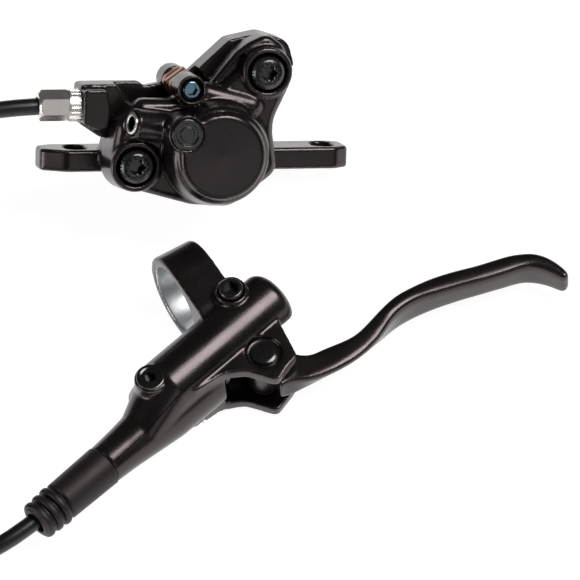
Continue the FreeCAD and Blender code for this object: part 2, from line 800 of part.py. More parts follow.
def clamp_bolt():
    """Socket head bolt that closes the bar clamp."""
    top = CLAMP_HEAD_SEAT + CLAMP_HEAD_HEIGHT
    head = turned([
        (0, CLAMP_HEAD_SEAT, 0),
        (CLAMP_HEAD_RADIUS, CLAMP_HEAD_SEAT, 0.2),
        (CLAMP_HEAD_RADIUS, top, 0.7),
        (0, top, 0),
    ])
    shank = rod(CLAMP_BOLT_RADIUS, CLAMP_TAB_BOTTOM + 0.5, CLAMP_HEAD_SEAT + 0.1)
    body = fused(head, shank).cut(hexagon(4.0, top - 2.4, top + 1))
    return moved(body, V(CLAMP_BOLT_X, CLAMP_BOLT_Y, 0))


def lever_bleed_screw():
    """Bleed screw with a hex socket, sunk in its boss."""
    head = turned([
        (0, BLEED_TOP - BLEED_DEPTH + 1.6, 0),
        (BLEED_RADIUS - 0.6, BLEED_TOP - BLEED_DEPTH + 1.6, 0),
        (BLEED_RADIUS, BLEED_TOP - BLEED_DEPTH + 2.2, 0),
        (BLEED_RADIUS, BLEED_TOP + 0.5, 0.5),
        (0, BLEED_TOP + 0.5, 0),
    ]).cut(hexagon(3.0, BLEED_TOP - 2.0, BLEED_TOP + 1))
    return on_cylinder(moved(head, V(BLEED_S, BLEED_ASIDE, -CYLINDER_Z)))


def lever_bleed_oring():
    """O-ring under the bleed screw."""
    body = Part.makeTorus(BLEED_RADIUS - 0.85, 0.75, V(0, 0, BLEED_TOP - BLEED_DEPTH + 0.78))
    return on_cylinder(moved(body, V(BLEED_S, BLEED_ASIDE, -CYLINDER_Z)))


def lid_screw_places():
    """Middles of the lid's two screws in the cylinder frame."""
    middle = (BARREL_ASIDE + BARREL_RADIUS - 2.2 - 5.0) / 2
    return [(TANK_LEFT_S - 0.2, middle), (TANK_RIGHT_S + 0.2, middle)]


def lid_room():
    """Clear space below the reservoir for its lid and the heads of its screws."""
    low = tank_bottom()
    ears = [moved(rod(LID_SCREW_HEAD + 0.9 + CLEAR, low - 12, low), V(x, y, 0)) for x, y in lid_screw_places()]
    return [on_cylinder(part) for part in [prism(tank_outline(-CLEAR), low - 12, low), *ears]]


def diaphragm():
    """Rubber bellows tray that closes the reservoir."""
    low = tank_bottom()
    tray = prism(tank_outline(TANK_WALL + 0.1), low, low + 2.1)
    hollow = prism(tank_outline(TANK_WALL + 1.0), low - 1, low + 1.3)
    return on_cylinder(tray.cut(hollow))


def reservoir_lid():
    """Flat lid with two screw ears under the reservoir."""
    low = tank_bottom()
    plate = prism(tank_outline(0), low - LID_THICKNESS, low)
    ear = rod(LID_SCREW_HEAD + 0.9, low - LID_THICKNESS, low)
    ears = [moved(ear, V(x, y, 0)) for x, y in lid_screw_places()]
    hole = rod(LID_SCREW_RADIUS + RUNNING, low - 5, low + 5)
    holes = [moved(hole, V(x, y, 0)) for x, y in lid_screw_places()]
    return on_cylinder(cut_by(fused(plate, *ears), *holes))


def lid_screws():
    """Two pan head screws of the lid."""
    low = tank_bottom() - LID_THICKNESS
    screw = turned([
        (0, low - 1.3, 0),
        (LID_SCREW_HEAD, low - 1.3, 0.6),
        (LID_SCREW_HEAD, low, 0),
        (LID_SCREW_RADIUS, low, 0),
        (LID_SCREW_RADIUS, low + LID_SCREW_LENGTH, 0),
        (0, low + LID_SCREW_LENGTH, 0),
    ]).cut(hexagon(2.0, low - 2, low - 0.4))
    return on_cylinder(Part.makeCompound([moved(screw, V(x, y, 0)) for x, y in lid_screw_places()]))


def screw_bosses():
    """Posts on the body for the lid screws, and the holes in them."""
    low = tank_bottom()
    depth = LID_SCREW_LENGTH - LID_THICKNESS + 0.4
    posts = [moved(rod(LID_SCREW_HEAD + 0.9, low, low + depth), V(x, y, 0)) for x, y in lid_screw_places()]
    hole = rod(LID_SCREW_RADIUS + RUNNING, low - 1, low + depth)
    holes = [moved(hole, V(x, y, 0)) for x, y in lid_screw_places()]
    return [on_cylinder(post) for post in posts], [on_cylinder(hole) for hole in holes]


def lever_hose_nut():
    """Compression nut between the body and the hose, hidden in the boot."""
    end = JOINT_S - LEVER_NUT_LENGTH
    nose = rod(HOSE_RADIUS + OLIVE_WALL, JOINT_S - 0.2, JOINT_S + 0.8)
    body = fused(hexagon(NUT_FLATS, end, JOINT_S - 0.05), nose)
    return along_cylinder(body.cut(rod(HOSE_RADIUS + RUNNING, end - 1, JOINT_S + 3)))


def olive(low):
    """Brass olive round the hose."""
    outer = HOSE_RADIUS + OLIVE_WALL
    body = turned([
        (HOSE_RADIUS + RUNNING, low, 0),
        (outer - 0.4, low, 0),
        (outer, low + OLIVE_LENGTH / 2, 0.5),
        (outer - 0.4, low + OLIVE_LENGTH, 0),
        (HOSE_RADIUS + RUNNING, low + OLIVE_LENGTH, 0),
    ])
    return body


def boot_end_s():
    """Free end of the boot along the cylinder line."""
    return JOINT_S - BOOT_SLEEVE_LENGTH - BOOT_RIBS * BOOT_RIB_PITCH - 0.9


def boot():
    """Rubber boot: plain sleeve over the nut, then ribs round the hose."""
    wide = JOINT_RADIUS + 0.2
    top = JOINT_S - 0.05
    profile = [
        (HOSE_RADIUS + 0.8, boot_end_s(), 0),
        (JOINT_RADIUS - 1.6, boot_end_s(), 0.8),
    ]
    for i in range(BOOT_RIBS):
        start = boot_end_s() + 0.4 + i * BOOT_RIB_PITCH
        crown = JOINT_RADIUS - 0.2 + 0.2 * i
        profile += [
            (JOINT_RADIUS - 1.2, start, 0.3),
            (crown, start + 0.3, 0.8),
            (crown, start + 2.1, 0.8),
            (JOINT_RADIUS - 1.2, start + 2.4, 0.3),
        ]
    profile += [
        (wide - 0.3, boot_end_s() + 0.8 + BOOT_RIBS * BOOT_RIB_PITCH, 0.5),
        (wide, top, 0.4),
        (NUT_FLATS / math.sqrt(3) + RUNNING, top, 0),
        (NUT_FLATS / math.sqrt(3) + RUNNING, top - LEVER_NUT_LENGTH, 0),
        (HOSE_RADIUS + RUNNING, top - LEVER_NUT_LENGTH - 1.2, 0),
        (HOSE_RADIUS + RUNNING, BOOT_BORE_WIDE_S, 0),
        (HOSE_RADIUS + 0.8, BOOT_BORE_WIDE_S - 0.8, 0),
    ]
    return along_cylinder(turned(profile))


def plan(corners, face, edge):
    """Caliper plate from the joint plane to its face, with the face's rim chamfered."""
    body = prism(corners, min(face, 0), max(face, 0))
    rims = [e for e in body.Edges if abs(e.BoundBox.ZMin - face) < 1e-6 and abs(e.BoundBox.ZMax - face) < 1e-6]
    return body.makeChamfer(edge, rims)


def pad_frame():
    """Placement of the pads: X across them, Y outward from the rotor's centre through the piston axis."""
    outward = V(-ROTOR_DIRECTION[0], -ROTOR_DIRECTION[1], 0)
    return FreeCAD.Placement(V(0, 0, 0), FreeCAD.Rotation(V(0, 1, 0), outward))


def rotor_centre():
    """Rotor's centre, so placed that its clear radius ends a set reach beyond the piston axis."""
    return V(*ROTOR_DIRECTION, 0).normalize() * (ROTOR_CLEAR_RADIUS - ROTOR_REACH)


def rotor_room():
    """Slot for the rotor and the wider pocket for the pads, open at the top."""
    slot = moved(rod(ROTOR_CLEAR_RADIUS, -ROTOR_GAP / 2, ROTOR_GAP / 2), rotor_centre())
    wide = PAD_HALF_WIDTH + 0.4
    low = -PAD_HALF_WIDTH - 0.6
    corners = [(-wide, low, 2), (wide, low, 2), (wide, POCKET_TOP, 0), (-wide, POCKET_TOP, 0)]
    pocket = prism(corners, -PAD_POCKET_W, PAD_POCKET_W)
    pocket.Placement = pad_frame()
    return slot, pocket


def piston_bore():
    """Blind bore with its seal groove."""
    bore = rod(PISTON_RADIUS + RUNNING, 0, PISTON_BACK_W + BORE_END_CLEAR)
    groove = rod(PISTON_RADIUS + RUNNING + SEAL_GROOVE_DEPTH, SEAL_W - 1.1, SEAL_W + 1.1)
    return bore.fuse(groove)


def dome():
    """Round piston housing with a raised flat cap."""
    return turned([
        (0, 0, 0),
        (DOME_RADIUS, 0, 0),
        (DOME_RADIUS, DOME_FOOT_W + 3, 2),
        (CAP_RADIUS + 1.4, DOME_TOP_W, 2),
        (CAP_RADIUS, DOME_TOP_W, 0),
        (CAP_RADIUS, CAP_TOP_W, 1.2),
        (0, CAP_TOP_W + 0.4, 0),
    ])


def bolt_boss(place, top):
    """Flared boss for a body bolt, from the joint face outward."""
    return moved(turned([
        (0, 0, 0),
        (BODY_BOSS_RADIUS + 0.8, 0, 0),
        (BODY_BOSS_RADIUS, top, 0.8),
        (0, top, 0),
    ]), V(*place, 0))


def bleed_axis():
    """Face centre and direction of the caliper's bleed drilling."""
    face = V(*CALIPER_BLEED_FACE)
    end = V(PLUG[0], PLUG[1], CALIPER_BLEED_FACE[2] - CALIPER_BLEED_DROP)
    return face, end


def caliper_outer_half():
    """Outboard casting: rim, raised face, piston dome, bosses and the bead over the bridge."""
    rim = plan(OUTER_LOWER_EDGE + OUTER_RIM_TOP, RIM_W, RIM_CHAMFER)
    raised = plan(OUTER_LOWER_EDGE + OUTER_FACE_TOP, FACE_W, EDGE_CHAMFER)
    groove = prism(RIM_GROOVE, RIM_GROOVE_W, CUT_TOP_W)
    bead_start, bead_end = [V(*end, BEAD_W) for end in BEAD_ENDS]
    bead = bar(BEAD_RADIUS, bead_start, bead_end).fuse(Part.makeSphere(BEAD_RADIUS, bead_end))
    plate = fused(rim, raised).cut(groove)
    face, end = bleed_axis()
    passage = bar(CALIPER_BLEED_BOSS, face, end)
    plug_boss = moved(rod(PLUG_RADIUS + 0.9, FACE_W - 4, PLUG_TOP_W - 0.4), V(*PLUG, 0))
    axle_boss = moved(rod(AXLE_BOSS_RADIUS, PAD_POCKET_W, AXLE_BOSS_W), V(*AXLE, 0))
    body = fused(
        plate,
        bead,
        dome(),
        bolt_boss(LOWER_BOLT, BODY_SEAT_W + 4.6),
        bolt_boss(UPPER_BOLT, BODY_SEAT_W + 4.6),
        passage,
        plug_boss,
        axle_boss,
    )
    slot, pocket = rotor_room()
    return cut_by(
        body,
        slot,
        pocket,
        piston_bore(),
        *bolt_holes(0, CUT_TOP_W),
        *head_seats(),
        moved(rod(AXLE_RADIUS + RUNNING, 0, CUT_TOP_W), V(*AXLE, 0)),
        moved(rod(AXLE_HEAD_RADIUS + AXLE_RECESS, AXLE_SEAT_W, CUT_TOP_W), V(*AXLE, 0)),
        moved(rod(PLUG_RADIUS + RUNNING, PLUG_TOP_W - PLUG_DEPTH, CUT_TOP_W), V(*PLUG, 0)),
        bar(CALIPER_BLEED_RADIUS + RUNNING, face + (face - end).normalize() * 3, face + (end - face).normalize() * 7),
    )


def bolt_holes(low, high):
    """Holes of the two body bolts between two depths."""
    hole = rod(BODY_BOLT_RADIUS + RUNNING, low, high)
    return [moved(hole, V(*place, 0)) for place in (LOWER_BOLT, UPPER_BOLT)]


def head_seats():
    """Counterbores for the body bolt heads."""
    return [moved(rod(BODY_HEAD_RADIUS + 1.0, BODY_SEAT_W, CUT_TOP_W), V(*place, 0))
            for place in (LOWER_BOLT, UPPER_BOLT)]


def mount_ear(side):
    """One mount ear with its long slot; side is -1 for the hose side, 1 for the other."""
    tip = MOUNT_MIDDLE + side * (MOUNT_SPACING / 2 + (EAR_LONG if side < 0 else EAR_SHORT))
    bevel = EAR_LONG_BEVEL if side < 0 else EAR_SHORT_BEVEL
    root = side * 12.0
    corners = [
        (root, -EAR_FRONT_W, 0),
        (tip - side * bevel, -EAR_FRONT_W, 3.0),
        (tip, -EAR_FRONT_W + 0.64 * bevel, 1.6),
        (tip, -EAR_BACK_W - 2.0, 2.4),
        (tip - side * 4.5, -EAR_BACK_W, 3.0),
        (root, -EAR_BACK_W, 0),
    ]
    if side > 0:
        corners = corners[::-1]
    body = prism(corners, EAR_BOTTOM_V, EAR_TOP_V)
    rims = [e for e in body.Edges if abs(e.BoundBox.ZMin - e.BoundBox.ZMax) < 1e-6 and e.BoundBox.XLength < 30]
    body = body.makeChamfer(0.5, rims)
    body.Placement = FreeCAD.Placement(V(0, 0, 0), FreeCAD.Rotation(V(1, 0, 0), -90))
    return body


def mount_slot(side):
    """Cutter for one mount slot, long in the outboard direction."""
    u = MOUNT_MIDDLE + side * MOUNT_SPACING / 2
    middle = (EAR_FRONT_W + EAR_BACK_W) / 2
    half = SLOT_LENGTH / 2 - SLOT_RADIUS
    ends = [V(u, EAR_BOTTOM_V - 5, middle - half), V(u, EAR_BOTTOM_V - 5, middle + half)]
    bars = [Part.makeCylinder(SLOT_RADIUS, 20, end, V(0, 1, 0)) for end in ends]
    box = Part.makeBox(2 * SLOT_RADIUS, 20, 2 * half, V(u - SLOT_RADIUS, EAR_BOTTOM_V - 5, middle - half))
    return fused(bars[0], bars[1], box)


def port_block():
    """Hose port: flat-topped block with chamfered facets, left of the inner half."""
    body = prism([(PORT_LEFT_U + u, v, radius) for u, v, radius in PORT_EDGE], PORT_BACK_W, 0)
    front = prism([(PORT_LEFT_U + u, v, radius) for u, v, radius in PORT_FRONT_EDGE], PORT_STEP_W, PORT_FRONT_W)
    return body.fuse(front)


def caliper_inner_half():
    """Inboard casting: plate, piston dome, mount ears, hose port and axle arch."""
    plate = plan(INNER_EDGE, -FACE_W, EDGE_CHAMFER)
    back = mirrored(dome(), -1)
    arch = moved(rod(AXLE_BOSS_RADIUS, -12.8, -PAD_POCKET_W), V(*AXLE, 0))
    bosses = [moved(rod(BODY_BOSS_RADIUS - 1.0, -FACE_W - 1.5, 0), V(*place, 0))
              for place in (LOWER_BOLT, UPPER_BOLT)]
    body = fused(plate, back, arch, mount_ear(-1), mount_ear(1), port_block(), *bosses)
    slot, pocket = rotor_room()
    bore = mirrored(piston_bore(), -1)
    port_ends = [V(PORT_LEFT_U + along, PORT_V, PORT_W) for along in (-1, 7)]
    port = bar(HOSE_RADIUS + OLIVE_WALL + RUNNING, *port_ends)
    return cut_by(
        body,
        slot,
        pocket,
        bore,
        *bolt_holes(BODY_BOLT_END_W - 1.0, 1),
        moved(rod(AXLE_RADIUS + RUNNING, -CUT_TOP_W, 0), V(*AXLE, 0)),
        mount_slot(-1),
        mount_slot(1),
        port,
        oring_groove(),
    )


def oring_place():
    """Middle of the passage between the halves."""
    return V(*TRANSFER_PLACE, 0)


def oring_groove():
    """Groove for the transfer O-ring in the joint face."""
    outer = TRANSFER_RING_RADIUS + TRANSFER_RING_SECTION + 0.1
    return moved(rod(outer, -2 * TRANSFER_RING_SECTION, 1), oring_place())


def transfer_oring():
    """O-ring round the fluid passage between the halves."""
    section = TRANSFER_RING_SECTION
    return moved(Part.makeTorus(TRANSFER_RING_RADIUS, section, V(0, 0, -section)), oring_place())


def mirrored(shape, side):
    """Shape as drawn for the outboard side, or its mirror image for the inboard one."""
    if side > 0:
        return shape
    return shape.mirror(V(0, 0, 0), Z_AXIS)


def piston(side):
    """Cup piston with its open end to the pad."""
    body = turned([
        (PISTON_RADIUS - PISTON_WALL, PISTON_FRONT_W, 0),
        (PISTON_RADIUS, PISTON_FRONT_W, 0),
        (PISTON_RADIUS, PISTON_BACK_W - 0.5, 0),
        (PISTON_RADIUS - 0.5, PISTON_BACK_W, 0),
        (0, PISTON_BACK_W, 0),
        (0, PISTON_BACK_W - 3.0, 0),
        (PISTON_RADIUS - PISTON_WALL, PISTON_BACK_W - 3.0, 0),
    ])
    return mirrored(body, side)


def piston_seal(side):
    """Square ring seal in the bore's groove."""
    inner = PISTON_RADIUS + RUNNING
    body = ring(inner, inner + SEAL_GROOVE_DEPTH - SEAL_LIP, SEAL_W - 1.08, SEAL_W + 1.08)
    return mirrored(body, side)


def axle_in_pads():
    """Axle place in the pads' own frame."""
    return pad_frame().inverse().multVec(V(*AXLE, 0))


def pad_plate(side):
    """Steel backing plate with its ear for the axle."""
    axle = axle_in_pads()
    half = PAD_HALF_WIDTH - 0.2
    back = PISTON_FRONT_W
    body = prism([
        (-half, -half + 2, 3),
        (-half + 3, -half, 3),
        (half - 3, -half, 3),
        (half, -half + 2, 3),
        (half, 8.0, 2.5),
        (axle.x + 4.4, 12.6, 2.0),
        (axle.x + 3.8, axle.y + 3.6, 2.6),
        (axle.x - 3.8, axle.y + 3.6, 2.6),
        (axle.x - 4.4, 12.6, 2.0),
        (-half, 8.0, 2.5),
    ], back - PLATE_THICKNESS, back)
    body = body.cut(rod(AXLE_RADIUS + 2 * RUNNING, 0, 10).translated(axle))
    body.Placement = pad_frame()
    return mirrored(body, side)


def pad_lining(side):
    """Friction lining with chamfered ends and a middle groove."""
    half = PAD_HALF_WIDTH - 0.8
    back = PISTON_FRONT_W - PLATE_THICKNESS
    front = back - LINING_THICKNESS
    body = prism([
        (-half, -half + 4, 2),
        (-half + 4, -half + 0.4, 2),
        (half - 4, -half + 0.4, 2),
        (half, -half + 4, 2),
        (half - 0.4, 7.4, 2),
        (-half + 0.4, 7.4, 2),
    ], front, back)
    body = body.cut(Part.makeBox(1.2, 30, 1.2, V(-0.6, -15, front - 0.2)))
    body.Placement = pad_frame()
    return mirrored(body, side)


def pad_spring():
    """Folded leaf spring between the pads, held by the axle."""
    axle = axle_in_pads()
    gap = PISTON_FRONT_W - PLATE_THICKNESS - PAD_TRAVEL - CLEAR
    leaf = 0.35
    side_view = [
        (-gap, axle.y - 9.0, 0),
        (-gap + leaf, axle.y - 9.0, 0),
        (-gap + leaf, axle.y + 3.2, 0.6),
        (gap - leaf, axle.y + 3.2, 0.6),
        (gap - leaf, axle.y - 9.0, 0),
        (gap, axle.y - 9.0, 0),
        (gap, axle.y + 3.2 + leaf, 0.9),
        (-gap, axle.y + 3.2 + leaf, 0.9),
    ]
    body = prism(side_view, axle.x - 3.4, axle.x + 3.4)
    turn = FreeCAD.Rotation(V(0, 0, 1), V(0, 1, 0), V(1, 0, 0), "ZYX")
    body.Placement = FreeCAD.Placement(V(0, 0, 0), turn)
    body = body.cut(rod(AXLE_RADIUS + 0.4, -10, 10).translated(axle))
    body.Placement = pad_frame().multiply(body.Placement)
    return body


def pad_axle():
    """Pad axle with a socket head outboard and a clip groove inboard."""
    end = -14.6
    head = turned([
        (0, AXLE_SEAT_W, 0),
        (AXLE_HEAD_RADIUS, AXLE_SEAT_W, 0),
        (AXLE_HEAD_RADIUS, AXLE_HEAD_W, 0.5),
        (0, AXLE_HEAD_W, 0),
    ])
    body = fused(head, rod(AXLE_RADIUS, end, AXLE_SEAT_W + 0.1))
    socket = hexagon(3.0, AXLE_HEAD_W - 1.6, AXLE_HEAD_W + 1)
    body = cut_by(body, socket, ring(AXLE_RADIUS - 0.3, 4, end + 0.6, end + 1.1))
    return moved(body, V(*AXLE, 0))


def axle_clip():
    """Snap clip on the inboard end of the axle."""
    end = -14.6
    body = ring(AXLE_RADIUS - 0.25, AXLE_RADIUS + 1.3, end + 0.63, end + 1.07)
    return moved(body.cut(Part.makeBox(4, 1.6, 3, V(0, -0.8, end))), V(*AXLE, 0))


def body_bolt(place):
    """Star socket bolt with a knurled rim that joins the halves."""
    top = BODY_SEAT_W + BODY_HEAD_HEIGHT
    head = turned([
        (0, BODY_SEAT_W, 0),
        (BODY_HEAD_RADIUS, BODY_SEAT_W, 0),
        (BODY_HEAD_RADIUS, top - 0.7, 0),
        (BODY_HEAD_RADIUS - 0.7, top, 0),
        (0, top, 0),
    ])
    body = fused(head, rod(BODY_BOLT_RADIUS, BODY_BOLT_END_W, BODY_SEAT_W + 0.1))
    return moved(body.cut(star(2.9, top - 2.8, top + 1)), V(*place, 0))


def passage_plug():
    """Round plug over the end of the fluid drilling, with rings in its face."""
    body = turned([
        (0, PLUG_TOP_W - PLUG_DEPTH + 0.1, 0),
        (PLUG_RADIUS, PLUG_TOP_W - PLUG_DEPTH + 0.1, 0.3),
        (PLUG_RADIUS, PLUG_TOP_W, 0.5),
        (PLUG_RADIUS - 1.2, PLUG_TOP_W, 0.2),
        (PLUG_RADIUS - 1.5, PLUG_TOP_W - 0.6, 0.1),
        (2.2, PLUG_TOP_W - 0.6, 0.1),
        (2.0, PLUG_TOP_W - 0.3, 0.1),
        (0, PLUG_TOP_W - 0.3, 0),
    ])
    return moved(body, V(*PLUG, 0))


def caliper_bleed_screw():
    """Bleed nipple screw with a raised rim and a hex socket."""
    face, end = bleed_axis()
    length = 5.6
    body = turned([
        (0, -length, 0),
        (CALIPER_BLEED_RADIUS, -length, 0.4),
        (CALIPER_BLEED_RADIUS, 0.3, 0.3),
        (0, 0.3, 0),
    ]).cut(hexagon(4.0, -2.4, 1))
    return moved(body, face, face - end)


def caliper_hose_nut():
    """Hose nut with a chamfered hexagon and a serrated collar."""
    hex_part = hexagon(NUT_FLATS, NUT_END_U, NUT_HEX_END_U, 30)
    corner = NUT_FLATS / math.sqrt(3)
    trim = turned([
        (0, NUT_END_U, 0),
        (corner - 0.9, NUT_END_U, 0),
        (corner + 0.05, NUT_END_U + 1.2, 0),
        (corner + 0.05, NUT_HEX_END_U - 0.6, 0),
        (corner - 0.4, NUT_HEX_END_U, 0),
        (0, NUT_HEX_END_U, 0),
    ])
    collar = rod(COLLAR_RADIUS, NUT_HEX_END_U - 0.1, PORT_LEFT_U - 0.05)
    grooves = []
    for i in range(20):
        angle = math.radians(18 * i)
        place = V(COLLAR_RADIUS * math.cos(angle), COLLAR_RADIUS * math.sin(angle), NUT_HEX_END_U + 0.4)
        grooves.append(Part.makeCylinder(0.35, 4, place))
    body = fused(hex_part.common(trim), cut_by(collar, *grooves))
    spigot = rod(HOSE_RADIUS + OLIVE_WALL, PORT_LEFT_U - 0.1, PORT_LEFT_U + 1.0)
    body = fused(body, spigot).cut(rod(HOSE_RADIUS + RUNNING, NUT_END_U - 1, PORT_LEFT_U + 3))
    return moved(body, V(0, PORT_V, PORT_W), V(1, 0, 0))


def caliper_olive():
    """Brass olive in the hose port."""
    return moved(olive(PORT_LEFT_U + 1.6), V(0, PORT_V, PORT_W), V(1, 0, 0))


def lever_olive():
    """Brass olive in the lever's hose joint."""
    return along_cylinder(olive(JOINT_S + 0.9))


def lever_lean():
    """Lean of the lever unit, whose clamp band and lower ear both touch the floor."""
    ear = ear_outline()[4]
    rise = BAR_Z - EAR_BOTTOM
    run = BAR_Y - ear[1] - 0.6
    reach = math.hypot(rise, run)
    slope = math.atan2(rise, run) - math.asin((BAR_RADIUS + BAND_WALL) / reach)
    return -math.degrees(slope)


def lowest(shape):
    """Lowest point of a shape."""
    return min(point.z for point in shape.tessellate(0.05)[0])


def box_middle(shapes):
    """Middle of the box round some shapes, seen from above."""
    box = FreeCAD.BoundBox()
    for shape in shapes:
        for point in shape.tessellate(0.05)[0]:
            box.add(point)
    return V(box.Center.x, box.Center.y, 0)


def placed(shapes, placement):
    """Shapes of one unit moved together."""
    result = {}
    for name, shape in shapes.items():
        copy = shape.copy()
        copy.Placement = placement.multiply(copy.Placement)
        result[name] = copy
    return result


def lever_placement(body):
    """Placement of the lever unit on the floor."""
    lean = FreeCAD.Rotation(V(1, 0, 0), lever_lean())
    turn = FreeCAD.Placement(V(0, 0, 0), FreeCAD.Rotation(Z_AXIS, LEVER_YAW).multiply(lean))
    rise = -lowest(placed({"body": body}, turn)["body"])
    return FreeCAD.Placement(V(*LEVER_PLACE, rise), turn.Rotation)


def caliper_placement(body):
    """Placement of the caliper on the floor."""
    turn = FreeCAD.Placement(V(0, 0, 0), FreeCAD.Rotation(CALIPER_YAW, CALIPER_PITCH, CALIPER_ROLL))
    rise = -lowest(placed({"body": body}, turn)["body"])
    return FreeCAD.Placement(V(CALIPER_PLACE_X, CALIPER_IMAGE_Y - rise * VIEW_SLOPE, rise), turn.Rotation)


def hose_tube(name, points):
    """Tube of the hose along straight runs joined by tangent arcs."""
    runs = [points[i].distanceToPoint(points[i + 1]) for i in range(len(points) - 1)]
    radii = [0.0]
    for i in range(1, len(points) - 1):
        half = (points[i] - points[i - 1]).getAngle(points[i + 1] - points[i]) / 2
        radii.append(RUN_SHARE * min(runs[i - 1], runs[i]) / math.tan(half))
    radii.append(0.0)
    path = Part.Wire(rounded_path(points, radii, False))
    section = Part.Wire(Part.makeCircle(HOSE_RADIUS, points[0], points[1] - points[0]))
    body = path.makePipeShell([section], True, False)
    swept = math.pi * HOSE_RADIUS ** 2 * path.Length
    print(name, "radii", [round(radius, 1) for radius in radii[1:-1]], "length", round(path.Length, 1),
          "volume", round(body.Volume, 1), "section by length", round(swept, 1))
    return body


def hose_coil():
    """Outer shape of the coiled length of hose, lying on the floor."""
    half = COIL_COLUMNS * HOSE_RADIUS
    height = 2 * COIL_LAYERS * HOSE_RADIUS
    body = turned([
        (COIL_MIDDLE_RADIUS - half, 0.0, HOSE_RADIUS),
        (COIL_MIDDLE_RADIUS + half, 0.0, HOSE_RADIUS),
        (COIL_MIDDLE_RADIUS + half, height, HOSE_RADIUS),
        (COIL_MIDDLE_RADIUS - half, height, HOSE_RADIUS),
    ])
    return moved(body, V(*COIL_PLACE, 0.02))


def hose(lever, caliper):
    """The hose in three solids: from the lever, the coil and to the caliper."""
    line = lever.multiply(cylinder_frame())
    lever_points = [line.multVec(V(s, 0, 0)) for s in (JOINT_S + 0.9, LEVER_ROUTE_FIRST_S)]
    lever_points += [V(*point) for point in LEVER_ROUTE]
    caliper_points = [caliper.multVec(V(u, PORT_V, PORT_W)) for u in (PORT_LEFT_U + 1.6, CALIPER_ROUTE_FIRST_U)]
    caliper_points += [V(*point) for point in CALIPER_ROUTE]
    return {
        "hose_lever_end": hose_tube("hose_lever_end", lever_points),
        "hose_coil": hose_coil(),
        "hose_caliper_end": hose_tube("hose_caliper_end", caliper_points),
    }, lever_points, caliper_points


def lever_unit():
    """Pieces of the lever unit in the lever frame."""
    return {
        "lever_body": lever_body(),
        "blade": blade(),
        "blade_bushes": blade_bushes(),
        "pivot_pin": pivot_pin(),
        "pivot_clip": pivot_clip(),
        "reach_screw": reach_screw(),
        "push_rod": push_rod(),
        "master_piston": master_piston(),
        "primary_seal": cup_seal(PISTON_HEAD_S - PISTON_LENGTH + SEAL_WIDTH + 0.2),
        "secondary_seal": cup_seal(PISTON_HEAD_S - 4.4 + SEAL_WIDTH),
        "piston_ring": piston_ring(),
        "master_spring": master_spring(),
        "clamp_bolt": clamp_bolt(),
        "lever_bleed_screw": lever_bleed_screw(),
        "lever_bleed_oring": lever_bleed_oring(),
        "diaphragm": diaphragm(),
        "reservoir_lid": reservoir_lid(),
        "lid_screws": lid_screws(),
        "lever_hose_nut": lever_hose_nut(),
        "lever_olive": lever_olive(),
        "boot": boot(),
    }


def caliper_unit():
    """Pieces of the caliper in the caliper frame."""
    return {
        "caliper_outer_half": caliper_outer_half(),
        "caliper_inner_half": caliper_inner_half(),
        "outer_piston": piston(1),
        "inner_piston": piston(-1),
        "outer_piston_seal": piston_seal(1),
        "inner_piston_seal": piston_seal(-1),
        "outer_pad_plate": pad_plate(1),
        "inner_pad_plate": pad_plate(-1),
        "outer_pad_lining": pad_lining(1),
        "inner_pad_lining": pad_lining(-1),
        "pad_spring": pad_spring(),
        "pad_axle": pad_axle(),
        "axle_clip": axle_clip(),
        "lower_body_bolt": body_bolt(LOWER_BOLT),
        "upper_body_bolt": body_bolt(UPPER_BOLT),
        "transfer_oring": transfer_oring(),
        "passage_plug": passage_plug(),
        "caliper_bleed_screw": caliper_bleed_screw(),
        "caliper_hose_nut": caliper_hose_nut(),
        "caliper_olive": caliper_olive(),
    }


def told(name, vector):
    """Print a named place or direction."""
    print(name, [round(value, 4) for value in vector])


def main():
    """Build each unit, lay it on the floor and write one file per piece."""
    os.makedirs("parts", exist_ok=True)
    lever = lever_unit()
    caliper = caliper_unit()
    lever_place = lever_placement(lever["lever_body"])
    caliper_place = caliper_placement(caliper["caliper_inner_half"])
    pieces = placed(lever, lever_place)
    pieces.update(placed(caliper, caliper_place))
    middle = box_middle(pieces.values())
    cords, lever_points, caliper_points = hose(lever_place, caliper_place)
    pieces.update(cords)
    shift = FreeCAD.Placement(middle * -1, FreeCAD.Rotation())
    for name, shape in placed(pieces, shift).items():
        shape.exportStep(os.path.join("parts", name + ".step"))
        print(name, "solids", len(shape.Solids), "valid", shape.isValid(), "volume", round(shape.Volume, 1))
    lever_place = shift.multiply(lever_place)
    caliper_place = shift.multiply(caliper_place)
    told("origin of the layout", middle)
    told("pivot", lever_place.Base)
    told("pivot axis", lever_place.Rotation.multVec(Z_AXIS))
    told("cylinder direction", lever_place.multiply(cylinder_frame()).Rotation.multVec(V(1, 0, 0)))
    told("spring end", lever_place.multiply(cylinder_frame()).multVec(V(BORE_END_S, 0, 0)))
    told("bar middle", lever_place.multVec(V(BAND_X, BAR_Y, BAR_Z)))
    told("bar direction", lever_place.Rotation.multVec(V(1, 0, 0)))
    told("piston axis", caliper_place.Rotation.multVec(Z_AXIS))
    told("mount bolt axis", caliper_place.Rotation.multVec(V(0, 1, 0)))
    told("caliper origin", caliper_place.Base)
    for side in (-1, 1):
        place = V(MOUNT_MIDDLE + side * MOUNT_SPACING / 2, EAR_TOP_V, (EAR_FRONT_W + EAR_BACK_W) / 2)
        told("mount slot", caliper_place.multVec(place))
    for point in lever_points + caliper_points:
        told("hose point", point - middle)


main()
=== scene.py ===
"""Bicycle hydraulic disc brake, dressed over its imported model: lever unit, hose and caliper."""
import json
import logging
import math
from dataclasses import dataclass
from enum import Enum

import bmesh
import bpy
import numpy as np
from mathutils import Matrix, Vector
from mathutils.bvhtree import BVHTree


